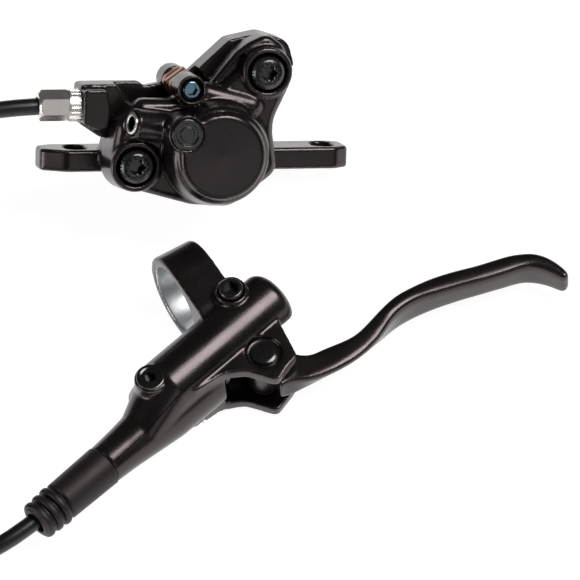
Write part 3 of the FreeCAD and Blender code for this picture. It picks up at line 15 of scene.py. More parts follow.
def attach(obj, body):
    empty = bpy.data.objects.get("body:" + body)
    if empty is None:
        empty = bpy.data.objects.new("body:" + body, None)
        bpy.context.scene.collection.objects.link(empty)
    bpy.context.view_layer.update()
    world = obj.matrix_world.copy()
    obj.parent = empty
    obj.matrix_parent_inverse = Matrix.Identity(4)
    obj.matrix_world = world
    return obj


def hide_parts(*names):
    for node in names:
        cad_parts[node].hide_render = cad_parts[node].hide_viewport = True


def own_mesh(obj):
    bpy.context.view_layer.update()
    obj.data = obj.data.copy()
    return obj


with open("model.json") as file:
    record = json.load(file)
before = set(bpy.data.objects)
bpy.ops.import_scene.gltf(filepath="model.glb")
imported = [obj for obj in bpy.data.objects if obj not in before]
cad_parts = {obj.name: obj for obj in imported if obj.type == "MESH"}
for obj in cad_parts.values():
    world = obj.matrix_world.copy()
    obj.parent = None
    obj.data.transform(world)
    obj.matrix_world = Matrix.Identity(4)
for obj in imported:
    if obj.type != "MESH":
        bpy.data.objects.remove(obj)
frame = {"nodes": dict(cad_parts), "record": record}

log = logging.getLogger("brake")
MM = 0.001
SLOTS = {part["node"]: part["material_slot"] for part in frame["record"]["subparts"]}

# Surface patterns, in cells per metre, and the height of the finest relief.
BROAD_CELLS = 85.0
SPECK_CELLS = 420.0
SCRATCH_CELLS = 3200.0
SCRATCH_TURN = (0.3, 0.2, 0.9)
SCRATCH_STRETCH = (1.0, 0.03, 0.05)
RELIEF_HEIGHT = 0.00006
MIDDLE = (0.3, 0.7)  # where nearly all values of a noise lie

# Angles in degrees above which an edge is shaded sharp.
SHARP_NEVER = 180.0
SHARP_RING = 40.0
SHARP_TURNED = 35.0
SHARP_FLAT = 30.0


class Grain(Enum):
    """Kinds of fine surface relief, with cells per metre."""

    CAST = 2300.0
    TURNED = 3600.0
    MOULDED = 1100.0
    RUBBER = 3000.0
    GRIT = 1500.0


@dataclass(frozen=True)
class Finish:
    """One surface finish.

    Attributes:
        name: Material name.
        tint: Base colour, linear RGB.
        metallic: 0 for paint and plastic, 1 for bare metal.
        roughness: Lowest and highest roughness over the surface.
        grain: Kind of relief.
        depth: Strength of the relief.
        sheen_tint: Colour of the mirror reflection of a paint or plastic.
        sheen: Strength of that reflection, 0.5 for common plastic.
        coat: Weight of the clear coat.
        specks: Share of small dust specks.
        scratches: Strength of fine handling scratches.
        edge: How far worn edges turn paler.
    """

    name: str
    tint: tuple[float, float, float]
    metallic: float
    roughness: tuple[float, float]
    grain: Grain
    depth: float
    sheen_tint: tuple[float, float, float] = (1.0, 1.0, 1.0)
    sheen: float = 0.5
    coat: float = 0.0
    specks: float = 0.3
    scratches: float = 0.3
    edge: float = 0.0


WARM = (1.0, 0.83, 0.84)
BLACK = (0.0062, 0.0048, 0.0050)
FINISHES = {
    "casting": Finish(
        "satin_black_casting", BLACK, 0.0, (0.22, 0.29), Grain.CAST, 0.15, WARM, 0.75, edge=0.6),
    "blade": Finish(
        "satin_black_blade", BLACK, 0.0, (0.22, 0.29), Grain.CAST, 0.13, WARM, 0.75, edge=0.6),
    # Painted shade: a near-black, almost matte finish that stands in for the shade along the step
    # of the housing's parting line.
    "painted_shade_line": Finish(
        "parting_line_painted_shade", (0.001, 0.001, 0.001), 0.0, (0.7, 0.8), Grain.CAST, 0.2, sheen=0.05),
    "black_steel": Finish(
        "black_oxide_steel", (0.008, 0.008, 0.009), 0.0, (0.12, 0.24), Grain.TURNED, 0.25,
        sheen=0.9),
    "chrome": Finish(
        "plated_steel", (0.95, 0.86, 0.83), 0.9, (0.16, 0.34), Grain.TURNED, 0.3),
    "blue_steel": Finish(
        "blued_steel", (0.16, 0.27, 0.34), 1.0, (0.08, 0.18), Grain.TURNED, 0.2),
    "steel": Finish(
        "plain_steel", (0.55, 0.55, 0.56), 1.0, (0.24, 0.38), Grain.TURNED, 0.3),
    "bare_aluminium": Finish(
        "bare_aluminium", (0.95, 0.85, 0.86), 0.3, (0.20, 0.34), Grain.TURNED, 0.5),
    "rubber": Finish(
        "black_rubber", (0.012, 0.010, 0.011), 0.0, (0.42, 0.56), Grain.RUBBER, 0.5, WARM, 0.45),
    "hose": Finish(
        "hose_sheath", (0.008, 0.008, 0.010), 0.0, (0.30, 0.42), Grain.MOULDED, 0.2, coat=0.1),
    "brass": Finish(
        "brass", (0.72, 0.52, 0.24), 1.0, (0.20, 0.34), Grain.TURNED, 0.3),
    "bush": Finish(
        "bearing_plastic", (0.02, 0.02, 0.02), 0.0, (0.40, 0.55), Grain.MOULDED, 0.3),
    "piston_resin": Finish(
        "moulded_resin", (0.05, 0.042, 0.038), 0.0, (0.40, 0.55), Grain.MOULDED, 0.3),
    "copper_steel": Finish(
        "copper_steel", (0.42, 0.22, 0.14), 1.0, (0.28, 0.46), Grain.GRIT, 0.5),
    "lining": Finish(
        "friction_lining", (0.06, 0.045, 0.038), 0.2, (0.60, 0.80), Grain.GRIT, 1.0),
    "tie": Finish(
        "tie_nylon", (0.015, 0.015, 0.016), 0.0, (0.35, 0.5), Grain.MOULDED, 0.3),
}
FINISH_OF_NODE = {"pad_axle": "blue_steel", "blade": "blade"}


class Graph:
    """Short way to add nodes to one material."""

    def __init__(self, tree) -> None:
        self.nodes = tree.nodes
        self.links = tree.links

    def add(self, kind: str, values: dict, output: int | str = 0, **settings):
        """Add a node.

        Args:
            kind: Node type.
            values: Input name to a constant or to another node's output.
            output: Which output to give back.
            **settings: Settings of the node itself.

        Returns:
            The chosen output.
        """
        node = self.nodes.new(kind)
        for name, value in settings.items():
            setattr(node, name, value)
        for name, value in values.items():
            if isinstance(value, bpy.types.NodeSocket):
                self.links.new(value, node.inputs[name])
            else:
                node.inputs[name].default_value = value
        return node.outputs[output]

    def noise(self, place, scale: float, detail: float):
        """Noise of a given scale on given coordinates."""
        values = {"Vector": place, "Scale": scale, "Detail": detail}
        return self.add("ShaderNodeTexNoise", values, "Fac")

    def spread(self, factor, source: tuple[float, float], result: tuple[float, float]):
        """Map one range of a factor onto another, clamped."""
        return self.add("ShaderNodeMapRange", {
            "Value": factor,
            "From Min": source[0],
            "From Max": source[1],
            "To Min": result[0],
            "To Max": result[1],
        })

    def math(self, operation: str, first, second):
        """One arithmetic step."""
        node = self.nodes.new("ShaderNodeMath")
        node.operation = operation
        for place, value in enumerate((first, second)):
            if isinstance(value, bpy.types.NodeSocket):
                self.links.new(value, node.inputs[place])
            else:
                node.inputs[place].default_value = value
        return node.outputs[0]

    def mix(self, factor, first, second):
        """Blend of two colours."""
        values = {"Factor": factor, "A": first, "B": second}
        return self.add("ShaderNodeMix", values, "Result", data_type="RGBA")


def paler(tint, factor: float) -> tuple[float, float, float, float]:
    """Colour times a factor, with full alpha."""
    return (*[min(1.0, factor * channel) for channel in tint], 1.0)


def set_inputs(shader, constants: dict) -> None:
    """Set constants straight on a shader's sockets."""
    for name, value in constants.items():
        shader.inputs[name].default_value = value


def material(finish: Finish):
    """Procedural material for a finish: broad tone, grain, specks, scratches and worn edges.

    Args:
        finish: What the surface is.

    Returns:
        The material, made once and reused.
    """
    found = bpy.data.materials.get(finish.name)
    if found is not None:
        return found
    made = bpy.data.materials.new(finish.name)
    made.use_nodes = True
    graph = Graph(made.node_tree)
    shader = graph.nodes["Principled BSDF"]
    place = graph.add("ShaderNodeTexCoord", {}, "Object")
    broad = graph.noise(place, BROAD_CELLS, 5.0)
    grain = graph.noise(place, finish.grain.value, 3.0)
    cells = graph.add("ShaderNodeTexVoronoi", {"Vector": place, "Scale": SPECK_CELLS}, "Distance")
    speck = graph.spread(cells, (0.05, 0.09), (finish.specks, 0.0))
    stroked = graph.add(
        "ShaderNodeMapping", {"Vector": place, "Rotation": SCRATCH_TURN, "Scale": SCRATCH_STRETCH})
    strokes = graph.noise(stroked, SCRATCH_CELLS, 1.0)
    scratch = graph.spread(strokes, (0.66, 0.74), (0.0, finish.scratches))
    patch = graph.spread(broad, MIDDLE, (0.0, 1.0))
    tone = graph.mix(patch, paler(finish.tint, 0.85), paler(finish.tint, 1.15))
    tone = graph.mix(speck, tone, paler([0.5 * channel + 0.05 for channel in finish.tint], 1.0))
    rough = graph.spread(broad, MIDDLE, finish.roughness)
    rough = graph.math("ADD", rough, graph.spread(grain, MIDDLE, (-0.025, 0.025)))
    rough = graph.math("SUBTRACT", rough, graph.math("MULTIPLY", scratch, 0.25))
    if finish.edge > 0:
        worn = graph.add("ShaderNodeAttribute", {}, "Fac", attribute_name="edge")
        patchy = graph.math("MULTIPLY", worn, graph.spread(broad, (0.4, 0.6), (0.5, 1.0)))
        tone = graph.mix(graph.math("MULTIPLY", patchy, finish.edge), tone, paler(finish.tint, 4.0))
        rough = graph.math("SUBTRACT", rough, graph.math("MULTIPLY", patchy, 0.06))
    relief = graph.math("ADD", grain, graph.math("MULTIPLY", scratch, -0.6))
    bump = graph.add(
        "ShaderNodeBump",
        {"Strength": finish.depth, "Distance": RELIEF_HEIGHT, "Height": relief},
        "Normal",
    )
    graph.links.new(tone, shader.inputs["Base Color"])
    graph.links.new(rough, shader.inputs["Roughness"])
    graph.links.new(bump, shader.inputs["Normal"])
    set_inputs(shader, {
        "Metallic": finish.metallic,
        "Specular IOR Level": finish.sheen,
        "Specular Tint": (*finish.sheen_tint, 1.0),
        "Coat Weight": finish.coat,
        "Coat Roughness": 0.15,
    })
    return made


def dress(thing, *finishes: Finish) -> None:
    """Give an object one material slot per finish."""
    thing.data.materials.clear()
    for finish in finishes:
        thing.data.materials.append(material(finish))


def link(thing):
    """Put an object in the scene and give it back."""
    bpy.context.scene.collection.objects.link(thing)
    return thing


def copy_of(node: str, suffix: str):
    """Object of its own with a copy of a CAD node's mesh."""
    return link(bpy.data.objects.new(node + suffix, frame["nodes"][node].data.copy()))


def shade_smooth(mesh, angle: float) -> None:
    """Smooth shading with sharp edges kept above an angle in degrees."""
    mesh.polygons.foreach_set("use_smooth", np.ones(len(mesh.polygons), bool))
    mesh.set_sharp_from_angle(angle=math.radians(angle))


def read(collection, name: str, width: int, kind=np.float32) -> np.ndarray:
    """Read one property of a mesh collection as rows."""
    values = np.empty(len(collection) * width, kind)
    collection.foreach_get(name, values)
    return values.reshape(-1, width)


def new_mesh(name: str, points, faces):
    """Mesh object from points in metres and faces, linked to the scene.

    Args:
        name: Object name.
        points: Rows of x, y, z.
        faces: Lists of point numbers, counterclockwise from outside.

    Returns:
        The object, at the origin.
    """
    mesh = bpy.data.meshes.new(name)
    rows = [tuple(map(float, point)) for point in points]
    mesh.from_pydata(rows, [], [list(map(int, face)) for face in faces])
    mesh.validate()
    log.info("%s: %d faces", name, len(mesh.polygons))
    return link(bpy.data.objects.new(name, mesh))


def turn_angles(count: int) -> np.ndarray:
    """Angles of evenly spread points round a ring: 2 pi i / n."""
    return np.arange(count) * 2 * math.pi / count


def ring_faces(levels: int, count: int) -> list[tuple[int, int, int, int]]:
    """Faces between rings of points, the last ring joined to the first.

    Args:
        levels: How many rings.
        count: Points in each ring.

    Returns:
        Four point numbers for each face.
    """
    faces = []
    for level in range(levels):
        low, high = level * count, (level + 1) % levels * count
        for i in range(count):
            ahead = (i + 1) % count
            faces.append((low + i, low + ahead, high + ahead, high + i))
    return faces


@dataclass(frozen=True)
class Place:
    """Frame of one unit as it lies on the floor, in the row frame.

    Attributes:
        origin: Its origin, in metres.
        ahead: Its first axis.
        up: Its third axis.
    """

    origin: tuple[float, float, float]
    ahead: tuple[float, float, float]
    up: tuple[float, float, float]

    def axes(self) -> np.ndarray:
        """Rows of the three axes, made square: a, u x a, u."""
        up = np.array(self.up) / np.linalg.norm(self.up)
        side = np.cross(up, np.array(self.ahead))
        side /= np.linalg.norm(side)
        return np.array([np.cross(side, up), side, up])

    def at(self, points) -> np.ndarray:
        """Points of the unit, in millimetres, put in the row frame in metres: o + p A."""
        return np.array(self.origin) + np.atleast_2d(np.array(points, float)) * MM @ self.axes()


LEVER = Place(
    origin=(-0.0091716, -0.0265967, 0.0127145),
    ahead=(0.9002, 0.4354, 0.0),
    up=(0.0553, -0.1142, 0.9919),
)
CALIPER = Place(
    origin=(-0.0191016, 0.0444047, 0.0278562),
    ahead=(0.9628, 0.0856, -0.2561),
    up=(0.2349, -0.7333, 0.638),
)

# The master cylinder's line in the lever frame: its turn, and its place in millimetres.
CYLINDER_TURN = math.radians(13.6)
CYLINDER_OFFSET = 9.54
CYLINDER_Z = -1.0


def on_cylinder(s: float, t: float, z: float) -> tuple[float, float, float]:
    """Point of the lever frame, in millimetres, given by its place on the master cylinder's line.

    The line is turned by c and lies aside by d: x = s cos c - (t + d) sin c,
    y = s sin c + (t + d) cos c.

    Args:
        s: How far along the line.
        t: How far aside of it.
        z: How far above it.

    Returns:
        The point's x, y and z.
    """
    turn, offset = CYLINDER_TURN, CYLINDER_OFFSET
    x = s * math.cos(turn) - (t + offset) * math.sin(turn)
    y = s * math.sin(turn) + (t + offset) * math.cos(turn)
    return x, y, z + CYLINDER_Z


@dataclass(frozen=True)
class BareBore:
    """Machined hole through a casting, left as bare metal.

    Attributes:
        centre: Middle of the hole.
        along: Direction of its axis.
        radius: Its radius.
        half: Half its length.
        slack: How far outside its radius a face still counts.
        facing: Least part of a face's normal that points at the axis.
    """

    centre: tuple[float, float, float]
    along: tuple[float, float, float]
    radius: float
    half: float
    slack: float = 0.3 * MM
    facing: float = 0.5

    def faces(self, mesh) -> np.ndarray:
        """Which faces of a mesh lie on the hole's wall.

        A face at p from the hole's middle, with normal n, is on the wall of the axis a
        where |p x a| < r + slack, |p . a| < h and n points at the axis.

        Args:
            mesh: The casting's mesh.

        Returns:
            One truth value per face.
        """
        along = np.array(self.along) / np.linalg.norm(self.along)
        away = read(mesh.polygons, "center", 3) - np.array(self.centre)
        reach = away @ along
        radial = away - np.outer(reach, along)
        distance = np.linalg.norm(radial, axis=1)
        inward = -(radial * read(mesh.polygons, "normal", 3)).sum(1) / np.maximum(distance, 1e-9)
        near = distance < self.radius + self.slack
        return near & (np.abs(reach) < self.half) & (inward > self.facing)


def neighbours(mesh) -> tuple[np.ndarray, np.ndarray, np.ndarray]:
    """First and second end of each edge, and the number of neighbours of each vertex."""
    first, second = read(mesh.edges, "vertices", 2, np.int32).T
    count = len(mesh.vertices)
    number = np.bincount(first, minlength=count) + np.bincount(second, minlength=count)
    return first, second, np.maximum(number, 1)


def round_off(mesh, distance: float, passes: int, growth: float = 0.010) -> None:
    """Round a casting further away from the lever's pivot.

    Each pass moves a vertex by w / 2 of the way to the mean of its neighbours, where w
    grows from 0 to 1 beyond the distance.

    Args:
        mesh: Mesh to change.
        distance: Where it begins, in metres from the pivot.
        passes: How many passes.
        growth: Length over which w grows, in metres.
    """
    points = read(mesh.vertices, "co", 3).astype(float)
    first, second, number = neighbours(mesh)
    count = len(points)
    away = np.linalg.norm(points - np.array(LEVER.origin), axis=1)
    weight = 0.5 * np.clip((away - distance) / growth, 0.0, 1.0)[:, None]
    for _ in range(passes):
        total = np.empty_like(points)
        for axis in range(3):
            total[:, axis] = np.bincount(first, points[second, axis], count)
            total[:, axis] += np.bincount(second, points[first, axis], count)
        points += weight * (total / number[:, None] - points)
    mesh.vertices.foreach_set("co", points.astype(np.float32).ravel())
    mesh.update()


def edge_wear(mesh, full: float = 420.0) -> None:
    """Store how convex the mesh is at each vertex as the attribute "edge".

    For vertex i with normal n and neighbours j it takes the mean of
    -(p_j - p_i) . n / |p_j - p_i|^2, half the mean curvature, averages it once with the
    neighbours, divides it by the value of full wear and clips it to 0...1.

    Args:
        mesh: Mesh to read and to write to.
        full: Value at which an edge is fully worn, per metre.
    """
    points = read(mesh.vertices, "co", 3)
    normals = read(mesh.vertex_normals, "vector", 3)
    first, second, number = neighbours(mesh)
    count = len(points)
    step = points[second] - points[first]
    square = np.maximum((step ** 2).sum(1), 1e-12)
    bend = np.bincount(first, -(step * normals[first]).sum(1) / square, count)
    bend += np.bincount(second, (step * normals[second]).sum(1) / square, count)
    bend /= number
    around = np.bincount(first, bend[second], count) + np.bincount(second, bend[first], count)
    bend = 0.5 * bend + 0.5 * around / number
    layer = mesh.attributes.new("edge", "FLOAT", "POINT")
    layer.data.foreach_set("value", np.clip(bend / full, 0.0, 1.0).astype(np.float32))


@dataclass(frozen=True)
class Filler:
    """Straight solid of the lever frame that is melted into a casting, in millimetres.

    Attributes:
        outline: Its corners, counterclockwise, as y, z pairs if it runs along x and else as x, y.
        along_x: Whether it runs along x and not along z.
        low: Where it starts.
        high: Where it ends.
        hollow: Radius of a hole through it about its middle, 0 for none.
    """

    outline: tuple
    along_x: bool
    low: float
    high: float
    hollow: float = 0.0

    def rows(self, outline: np.ndarray, level: float) -> np.ndarray:
        """Outline at one level, in the row frame."""
        levels = np.full((len(outline), 1), level)
        return LEVER.at(np.hstack([levels, outline] if self.along_x else [outline, levels]))

    def melt(self, mesh) -> None:
        """Add the solid's faces to a mesh.

        With a hole, the inner wall is the outline drawn in to the hole's radius:
        q = c + (p - c) h / |p - c|.

        Args:
            mesh: Mesh to add to.
        """
        outer = np.array(self.outline)
        count = len(outer)
        shape = bmesh.new()
        shape.from_mesh(mesh)
        bottom = [shape.verts.new(row) for row in self.rows(outer, self.low)]
        top = [shape.verts.new(row) for row in self.rows(outer, self.high)]
        loops = [bottom, top]
        if self.hollow > 0:
            middle = outer.mean(0)
            away = outer - middle
            inner = middle + away * self.hollow / np.linalg.norm(away, axis=1)[:, None]
            loops.append([shape.verts.new(row) for row in self.rows(inner, self.high)])
            loops.append([shape.verts.new(row) for row in self.rows(inner, self.low)])
            loops.append(bottom)
        else:
            shape.faces.new(top)
            shape.faces.new(bottom[::-1])
        for here, ahead in zip(loops, loops[1:]):
            for i in range(count):
                j = (i + 1) % count
                shape.faces.new((here[i], here[j], ahead[j], ahead[i]))
        shape.to_mesh(mesh)
        shape.free()


CIRCLE_STEPS = 48


def circle(x: float, y: float, radius: float) -> tuple:
    """Corners of a circle: c + r (cos a, sin a)."""
    angles = turn_angles(CIRCLE_STEPS)
    return tuple((x + radius * math.cos(angle), y + radius * math.sin(angle)) for angle in angles)


# Flat strap from the clamp band to the reservoir, and the boss round the clamp bolt.
STRAP = ((22, 3.5), (27.5, 7.6), (33.7, 9.2), (33.7, 10.95), (21.5, 10.9), (16, 10.3), (16, 4))
BOLT_BOSS = circle(0.9, 19.9, 4.7)
FILLERS = (
    Filler(STRAP, along_x=True, low=-9.7, high=2.7),
    Filler(BOLT_BOSS, along_x=False, low=8.0, high=14.2, hollow=3.8),
)


@dataclass(frozen=True)
class Casting:
    """A cast or forged node whose edges are softened.

    Attributes:
        node: CAD node that the piece stands for.
        body: Body it rides on.
        finish: Finish name.
        voxel: Cell of the remesh, in metres.
        rounds: Smoothing passes.
        bore: Machined hole in it, if any.
        fillers: Joining shapes melted into it.
        soft: Where it is rounded further, in metres from the pivot, and in how many passes.
    """

    node: str
    body: str
    finish: str
    voxel: float
    rounds: int
    bore: BareBore | None = None
    fillers: tuple[Filler, ...] = ()
    soft: tuple = ()

    def build(self):
        """Remeshed and smoothed copy of the node.

        Returns:
            The new object.
        """
        piece = copy_of(self.node, "_cast")
        for filler in self.fillers:
            filler.melt(piece.data)
        piece.modifiers.new("weld", "WELD").merge_threshold = 0.001 * MM
        remesh = piece.modifiers.new("remesh", "REMESH")
        remesh.mode = "VOXEL"
        remesh.voxel_size = self.voxel
        smooth = piece.modifiers.new("smooth", "SMOOTH")
        smooth.factor = 0.5
        smooth.iterations = self.rounds
        evaluated = piece.evaluated_get(bpy.context.evaluated_depsgraph_get())
        result = bpy.data.meshes.new_from_object(evaluated)
        piece.modifiers.clear()
        piece.data = result
        if self.soft:
            round_off(result, *self.soft)
        shade_smooth(result, SHARP_NEVER)
        edge_wear(result)
        dress(piece, FINISHES[self.finish], FINISHES["bare_aluminium"])
        if self.bore is not None:
            result.polygons.foreach_set("material_index", self.bore.faces(result).astype(np.int32))
        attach(piece, self.body)
        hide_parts(self.node)
        log.info("%s: %d faces", piece.name, len(result.polygons))
        return piece


BAR_BORE = BareBore(
    centre=(-0.0270422, 0.0023151, 0.0140154),
    along=LEVER.ahead,
    radius=0.0111,
    half=0.00605,
)
CASTINGS = [
    Casting("lever_body", "brake_frame", "casting", 0.0004, 6, BAR_BORE, FILLERS),
    Casting("blade", "lever_blade", "blade", 0.0004, 8, soft=(0.014, 40)),
    Casting("caliper_outer_half", "brake_frame", "casting", 0.00036, 14),
    Casting("caliper_inner_half", "brake_frame", "casting", 0.00036, 12),
]


def closed_ring(name: str, place: tuple[float, float, float], levels: list,
                unit: Place = CALIPER, finish: str = "black_steel"):
    """Ring about a frame's third axis, through levels that close on themselves.

    Args:
        name: Object name.
        place: Its middle in the frame, in millimetres.
        levels: Radii round the ring and a height, for each level.
        unit: The frame.
        finish: Finish name.

    Returns:
        The ring's object.
    """
    count = len(levels[0][0])
    angles = turn_angles(count)
    rows = []
    for ring, rise in levels:
        heights = np.full(count, rise)
        rows.append(np.column_stack([ring * np.cos(angles), ring * np.sin(angles), heights]))
    points = unit.at(np.vstack(rows) + np.array(place))
    made = new_mesh(name, points, ring_faces(len(levels), count))
    shade_smooth(made.data, SHARP_RING)
    dress(made, FINISHES[finish])
    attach(made, "brake_frame")
    return made


@dataclass(frozen=True)
class Knurl:
    """Toothed rim round a bolt head, in millimetres.

    Attributes:
        name: Object name.
        place: Middle of the head in the caliper frame, at the rim's foot.
        radius: Radius over the teeth.
        height: Height of the rim.
        teeth: How many teeth.
        depth: Half the depth of a tooth.
        bevel: Bevel at the top.
        wall: Width of the rim.
        steps: Points on each tooth.
    """

    name: str
    place: tuple[float, float, float]
    radius: float = 4.95
    height: float = 4.9
    teeth: int = 32
    depth: float = 0.16
    bevel: float = 0.35
    wall: float = 1.1
    steps: int = 6

    def build(self):
        """Closed ring: a toothed outside, r = R - d (1 - cos(n a)), bevelled at the top.

        Returns:
            The ring's object.
        """
        angles = turn_angles(self.steps * self.teeth)
        tooth = self.radius - self.depth * (1 - np.cos(self.teeth * angles))
        inside = np.full(len(angles), self.radius - self.wall)
        return closed_ring(self.name, self.place, [
            (tooth, 0.0),
            (tooth, self.height - self.bevel),
            (tooth - self.bevel, self.height),
            (inside, self.height),
            (inside, 0.0),
        ])


@dataclass(frozen=True)
class LobedSocket:
    """Six-lobed mouth of a bolt's socket, a thin plate on the head, in millimetres.

    Attributes:
        name: Object name.
        place: Middle of the head's top in the caliper frame.
        outer: Radius of the plate.
        inner: Mean radius of the mouth.
        lobe: How far its lobes reach past the mean.
        sunk: How far the plate reaches into the head.
        rim: Height at which its outer bevel starts.
        mouth_rim: Height at which its inner bevel starts.
        top: Its height.
        bevel: Width of the outer bevel.
        mouth_bevel: Width of the inner bevel.
        steps: Points round it.
    """

    name: str
    place: tuple[float, float, float]
    outer: float = 3.95
    inner: float = 2.1
    lobe: float = 0.32
    sunk: float = 0.1
    rim: float = 0.1
    mouth_rim: float = 0.08
    top: float = 0.22
    bevel: float = 0.15
    mouth_bevel: float = 0.18
    steps: int = 96

    def build(self):
        """Closed ring between a circle and the mouth r = m + l cos(6 a).

        Returns:
            The plate's object.
        """
        mouth = self.inner + self.lobe * np.cos(6 * turn_angles(self.steps))
        edge = np.full(self.steps, self.outer)
        return closed_ring(self.name, self.place, [
            (edge, -self.sunk),
            (edge, self.rim),
            (edge - self.bevel, self.top),
            (mouth + self.mouth_bevel, self.top),
            (mouth, self.mouth_rim),
            (mouth, -self.sunk),
        ])


@dataclass(frozen=True)
class BleedRing:
    """Bright ring round the socket of the caliper's bleed screw.

    Attributes:
        name: Object name.
        face: Middle of the screw's face in the caliper frame, in millimetres.
        along: Direction out of its hole, in the caliper frame.
        profile: Closed outline as radius and height above the face, in millimetres.
    """

    name: str
    face: tuple[float, float, float]
    along: tuple[float, float, float]
    profile: tuple

    def build(self):
        """Ring of the profile about the screw's axis."""
        origin = tuple(CALIPER.at(self.face)[0])
        unit = Place(origin, (0.0, 0.0, 1.0), tuple(np.array(self.along) @ CALIPER.axes()))
        levels = [(np.full(CIRCLE_STEPS, radius), height) for radius, height in self.profile]
        return closed_ring(self.name, (0.0, 0.0, 0.0), levels, unit, "chrome")


# Body bolts in the caliper frame, and the heights of their rims' feet and of their tops.
BOLTS = {"lower_bolt": (-23.4, -4.0), "upper_bolt": (15.1, 22.9)}
KNURL_FOOT = 7.4
HEAD_TOP = 12.6
KNURLS = [Knurl(name + "_knurl", (*place, KNURL_FOOT)) for name, place in BOLTS.items()]
SOCKETS = [LobedSocket(name + "_socket", (*place, HEAD_TOP)) for name, place in BOLTS.items()]
BLEED_RING = BleedRing(
    name="caliper_bleed_ring",
    face=(-25.2, 8.9, 13.0),
    along=(-14.2, 2.1, 3.6),
    profile=((3.2, 0.2), (3.15, 0.45), (2.9, 0.58), (2.35, 0.55), (2.1, 0.4), (2.1, 0.2)),
)


@dataclass(frozen=True)
class Turned:
    """Turned part about an upright axis of the lever frame, in millimetres.

    Attributes:
        name: Object name.
        place: Where its axis stands, as x and y.
        profile: Closed outline as radius and height, counterclockwise.
        finish: Finish name.
        node: CAD node that it stands for, if any.
        steps: Points round it.
    """

    name: str
    place: tuple[float, float]
    profile: tuple
    finish: str
    node: str = ""
    steps: int = 64

    def build(self):
        """Swept profile: p = c + (r cos a, r sin a, z), with one point where r = 0.

        Returns:
            The object.
        """
        x, y = self.place
        rows, numbers = [], {}
        for i in range(self.steps):
            angle = 2 * math.pi * i / self.steps
            for j, (radius, z) in enumerate(self.profile):
                if radius > 0 or i == 0:
                    rows.append((x + radius * math.cos(angle), y + radius * math.sin(angle), z))
                    numbers[i, j] = len(rows) - 1
                else:
                    numbers[i, j] = numbers[0, j]
        faces = []
        for i in range(self.steps):
            for j in range(len(self.profile)):
                ahead, after = (i + 1) % self.steps, (j + 1) % len(self.profile)
                corners = (
                    numbers[i, j],
                    numbers[ahead, j],
                    numbers[ahead, after],
                    numbers[i, after],
                )
                face = list(dict.fromkeys(corners))
                if len(face) > 2:
                    faces.append(face)
        made = new_mesh(self.name, LEVER.at(rows), faces)
        shade_smooth(made.data, SHARP_TURNED)
        dress(made, FINISHES[self.finish])
        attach(made, "brake_frame")
        if self.node:
            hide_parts(self.node)
        return made


# Raised rim of the lever's bleed screw, and the pivot pin with its round head.
BLEED_PLACE = on_cylinder(-30.4, 5.6, 0.0)[:2]
BLEED_RIM = (
    (2.7, 12.3),
    (4.1, 12.3),
    (4.15, 12.9),
    (4.0, 13.2),
    (3.6, 13.35),
    (3.1, 13.3),
    (2.7, 13.1),
)
PIN_OUTLINE = (
    (0, -11.5),
    (2.75, -11.5),
    (2.75, -11.3),
    (2.25, -11.3),
    (2.25, -10.8),
    (2.75, -10.8),
    (2.75, 7.8),
    (3.9, 7.8),
    (3.9, 8.3),
    (3.75, 8.65),
    (3.3, 8.9),
    (2.6, 8.98),
    (0, 9),
)
TURNED = [
    Turned("pivot_pin_round", (0.0, 0.0), PIN_OUTLINE, "black_steel", "pivot_pin"),
    Turned("bleed_rim", BLEED_PLACE, BLEED_RIM, "black_steel"),
]


@dataclass(frozen=True)
class Spring:
    """Coil spring of the master cylinder, shown at its modelled length.

    Attributes:
        node: CAD node that it stands for.
        joint: Slide of the piston; not used.
        travel: How far the piston comes in, in metres; not used.
        along: Direction of the spring, from its fixed end to the piston; not used.
        anchor: Middle of its fixed end.
    """

    node: str
    joint: str
    travel: float
    along: tuple[float, float, float]
    anchor: tuple[float, float, float]

    def build(self):
        """Smooth-shaded steel copy of the node, kept at its length.

        Returns:
            The spring's object.
        """
        piece = copy_of(self.node, "_coil")
        away = read(piece.data.vertices, "co", 3) - np.array(self.anchor)
        shade_smooth(piece.data, SHARP_RING)
        dress(piece, FINISHES["steel"])
        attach(piece, "brake_frame")
        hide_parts(self.node)
        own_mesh(piece)
        return piece


MASTER_SPRING = Spring(
    node="master_spring",
    joint="master_piston_slide",
    travel=0.0034,
    along=(0.7735, 0.6332, 0.0298),
    anchor=(-0.0508296, -0.0483042, 0.0115266),
)


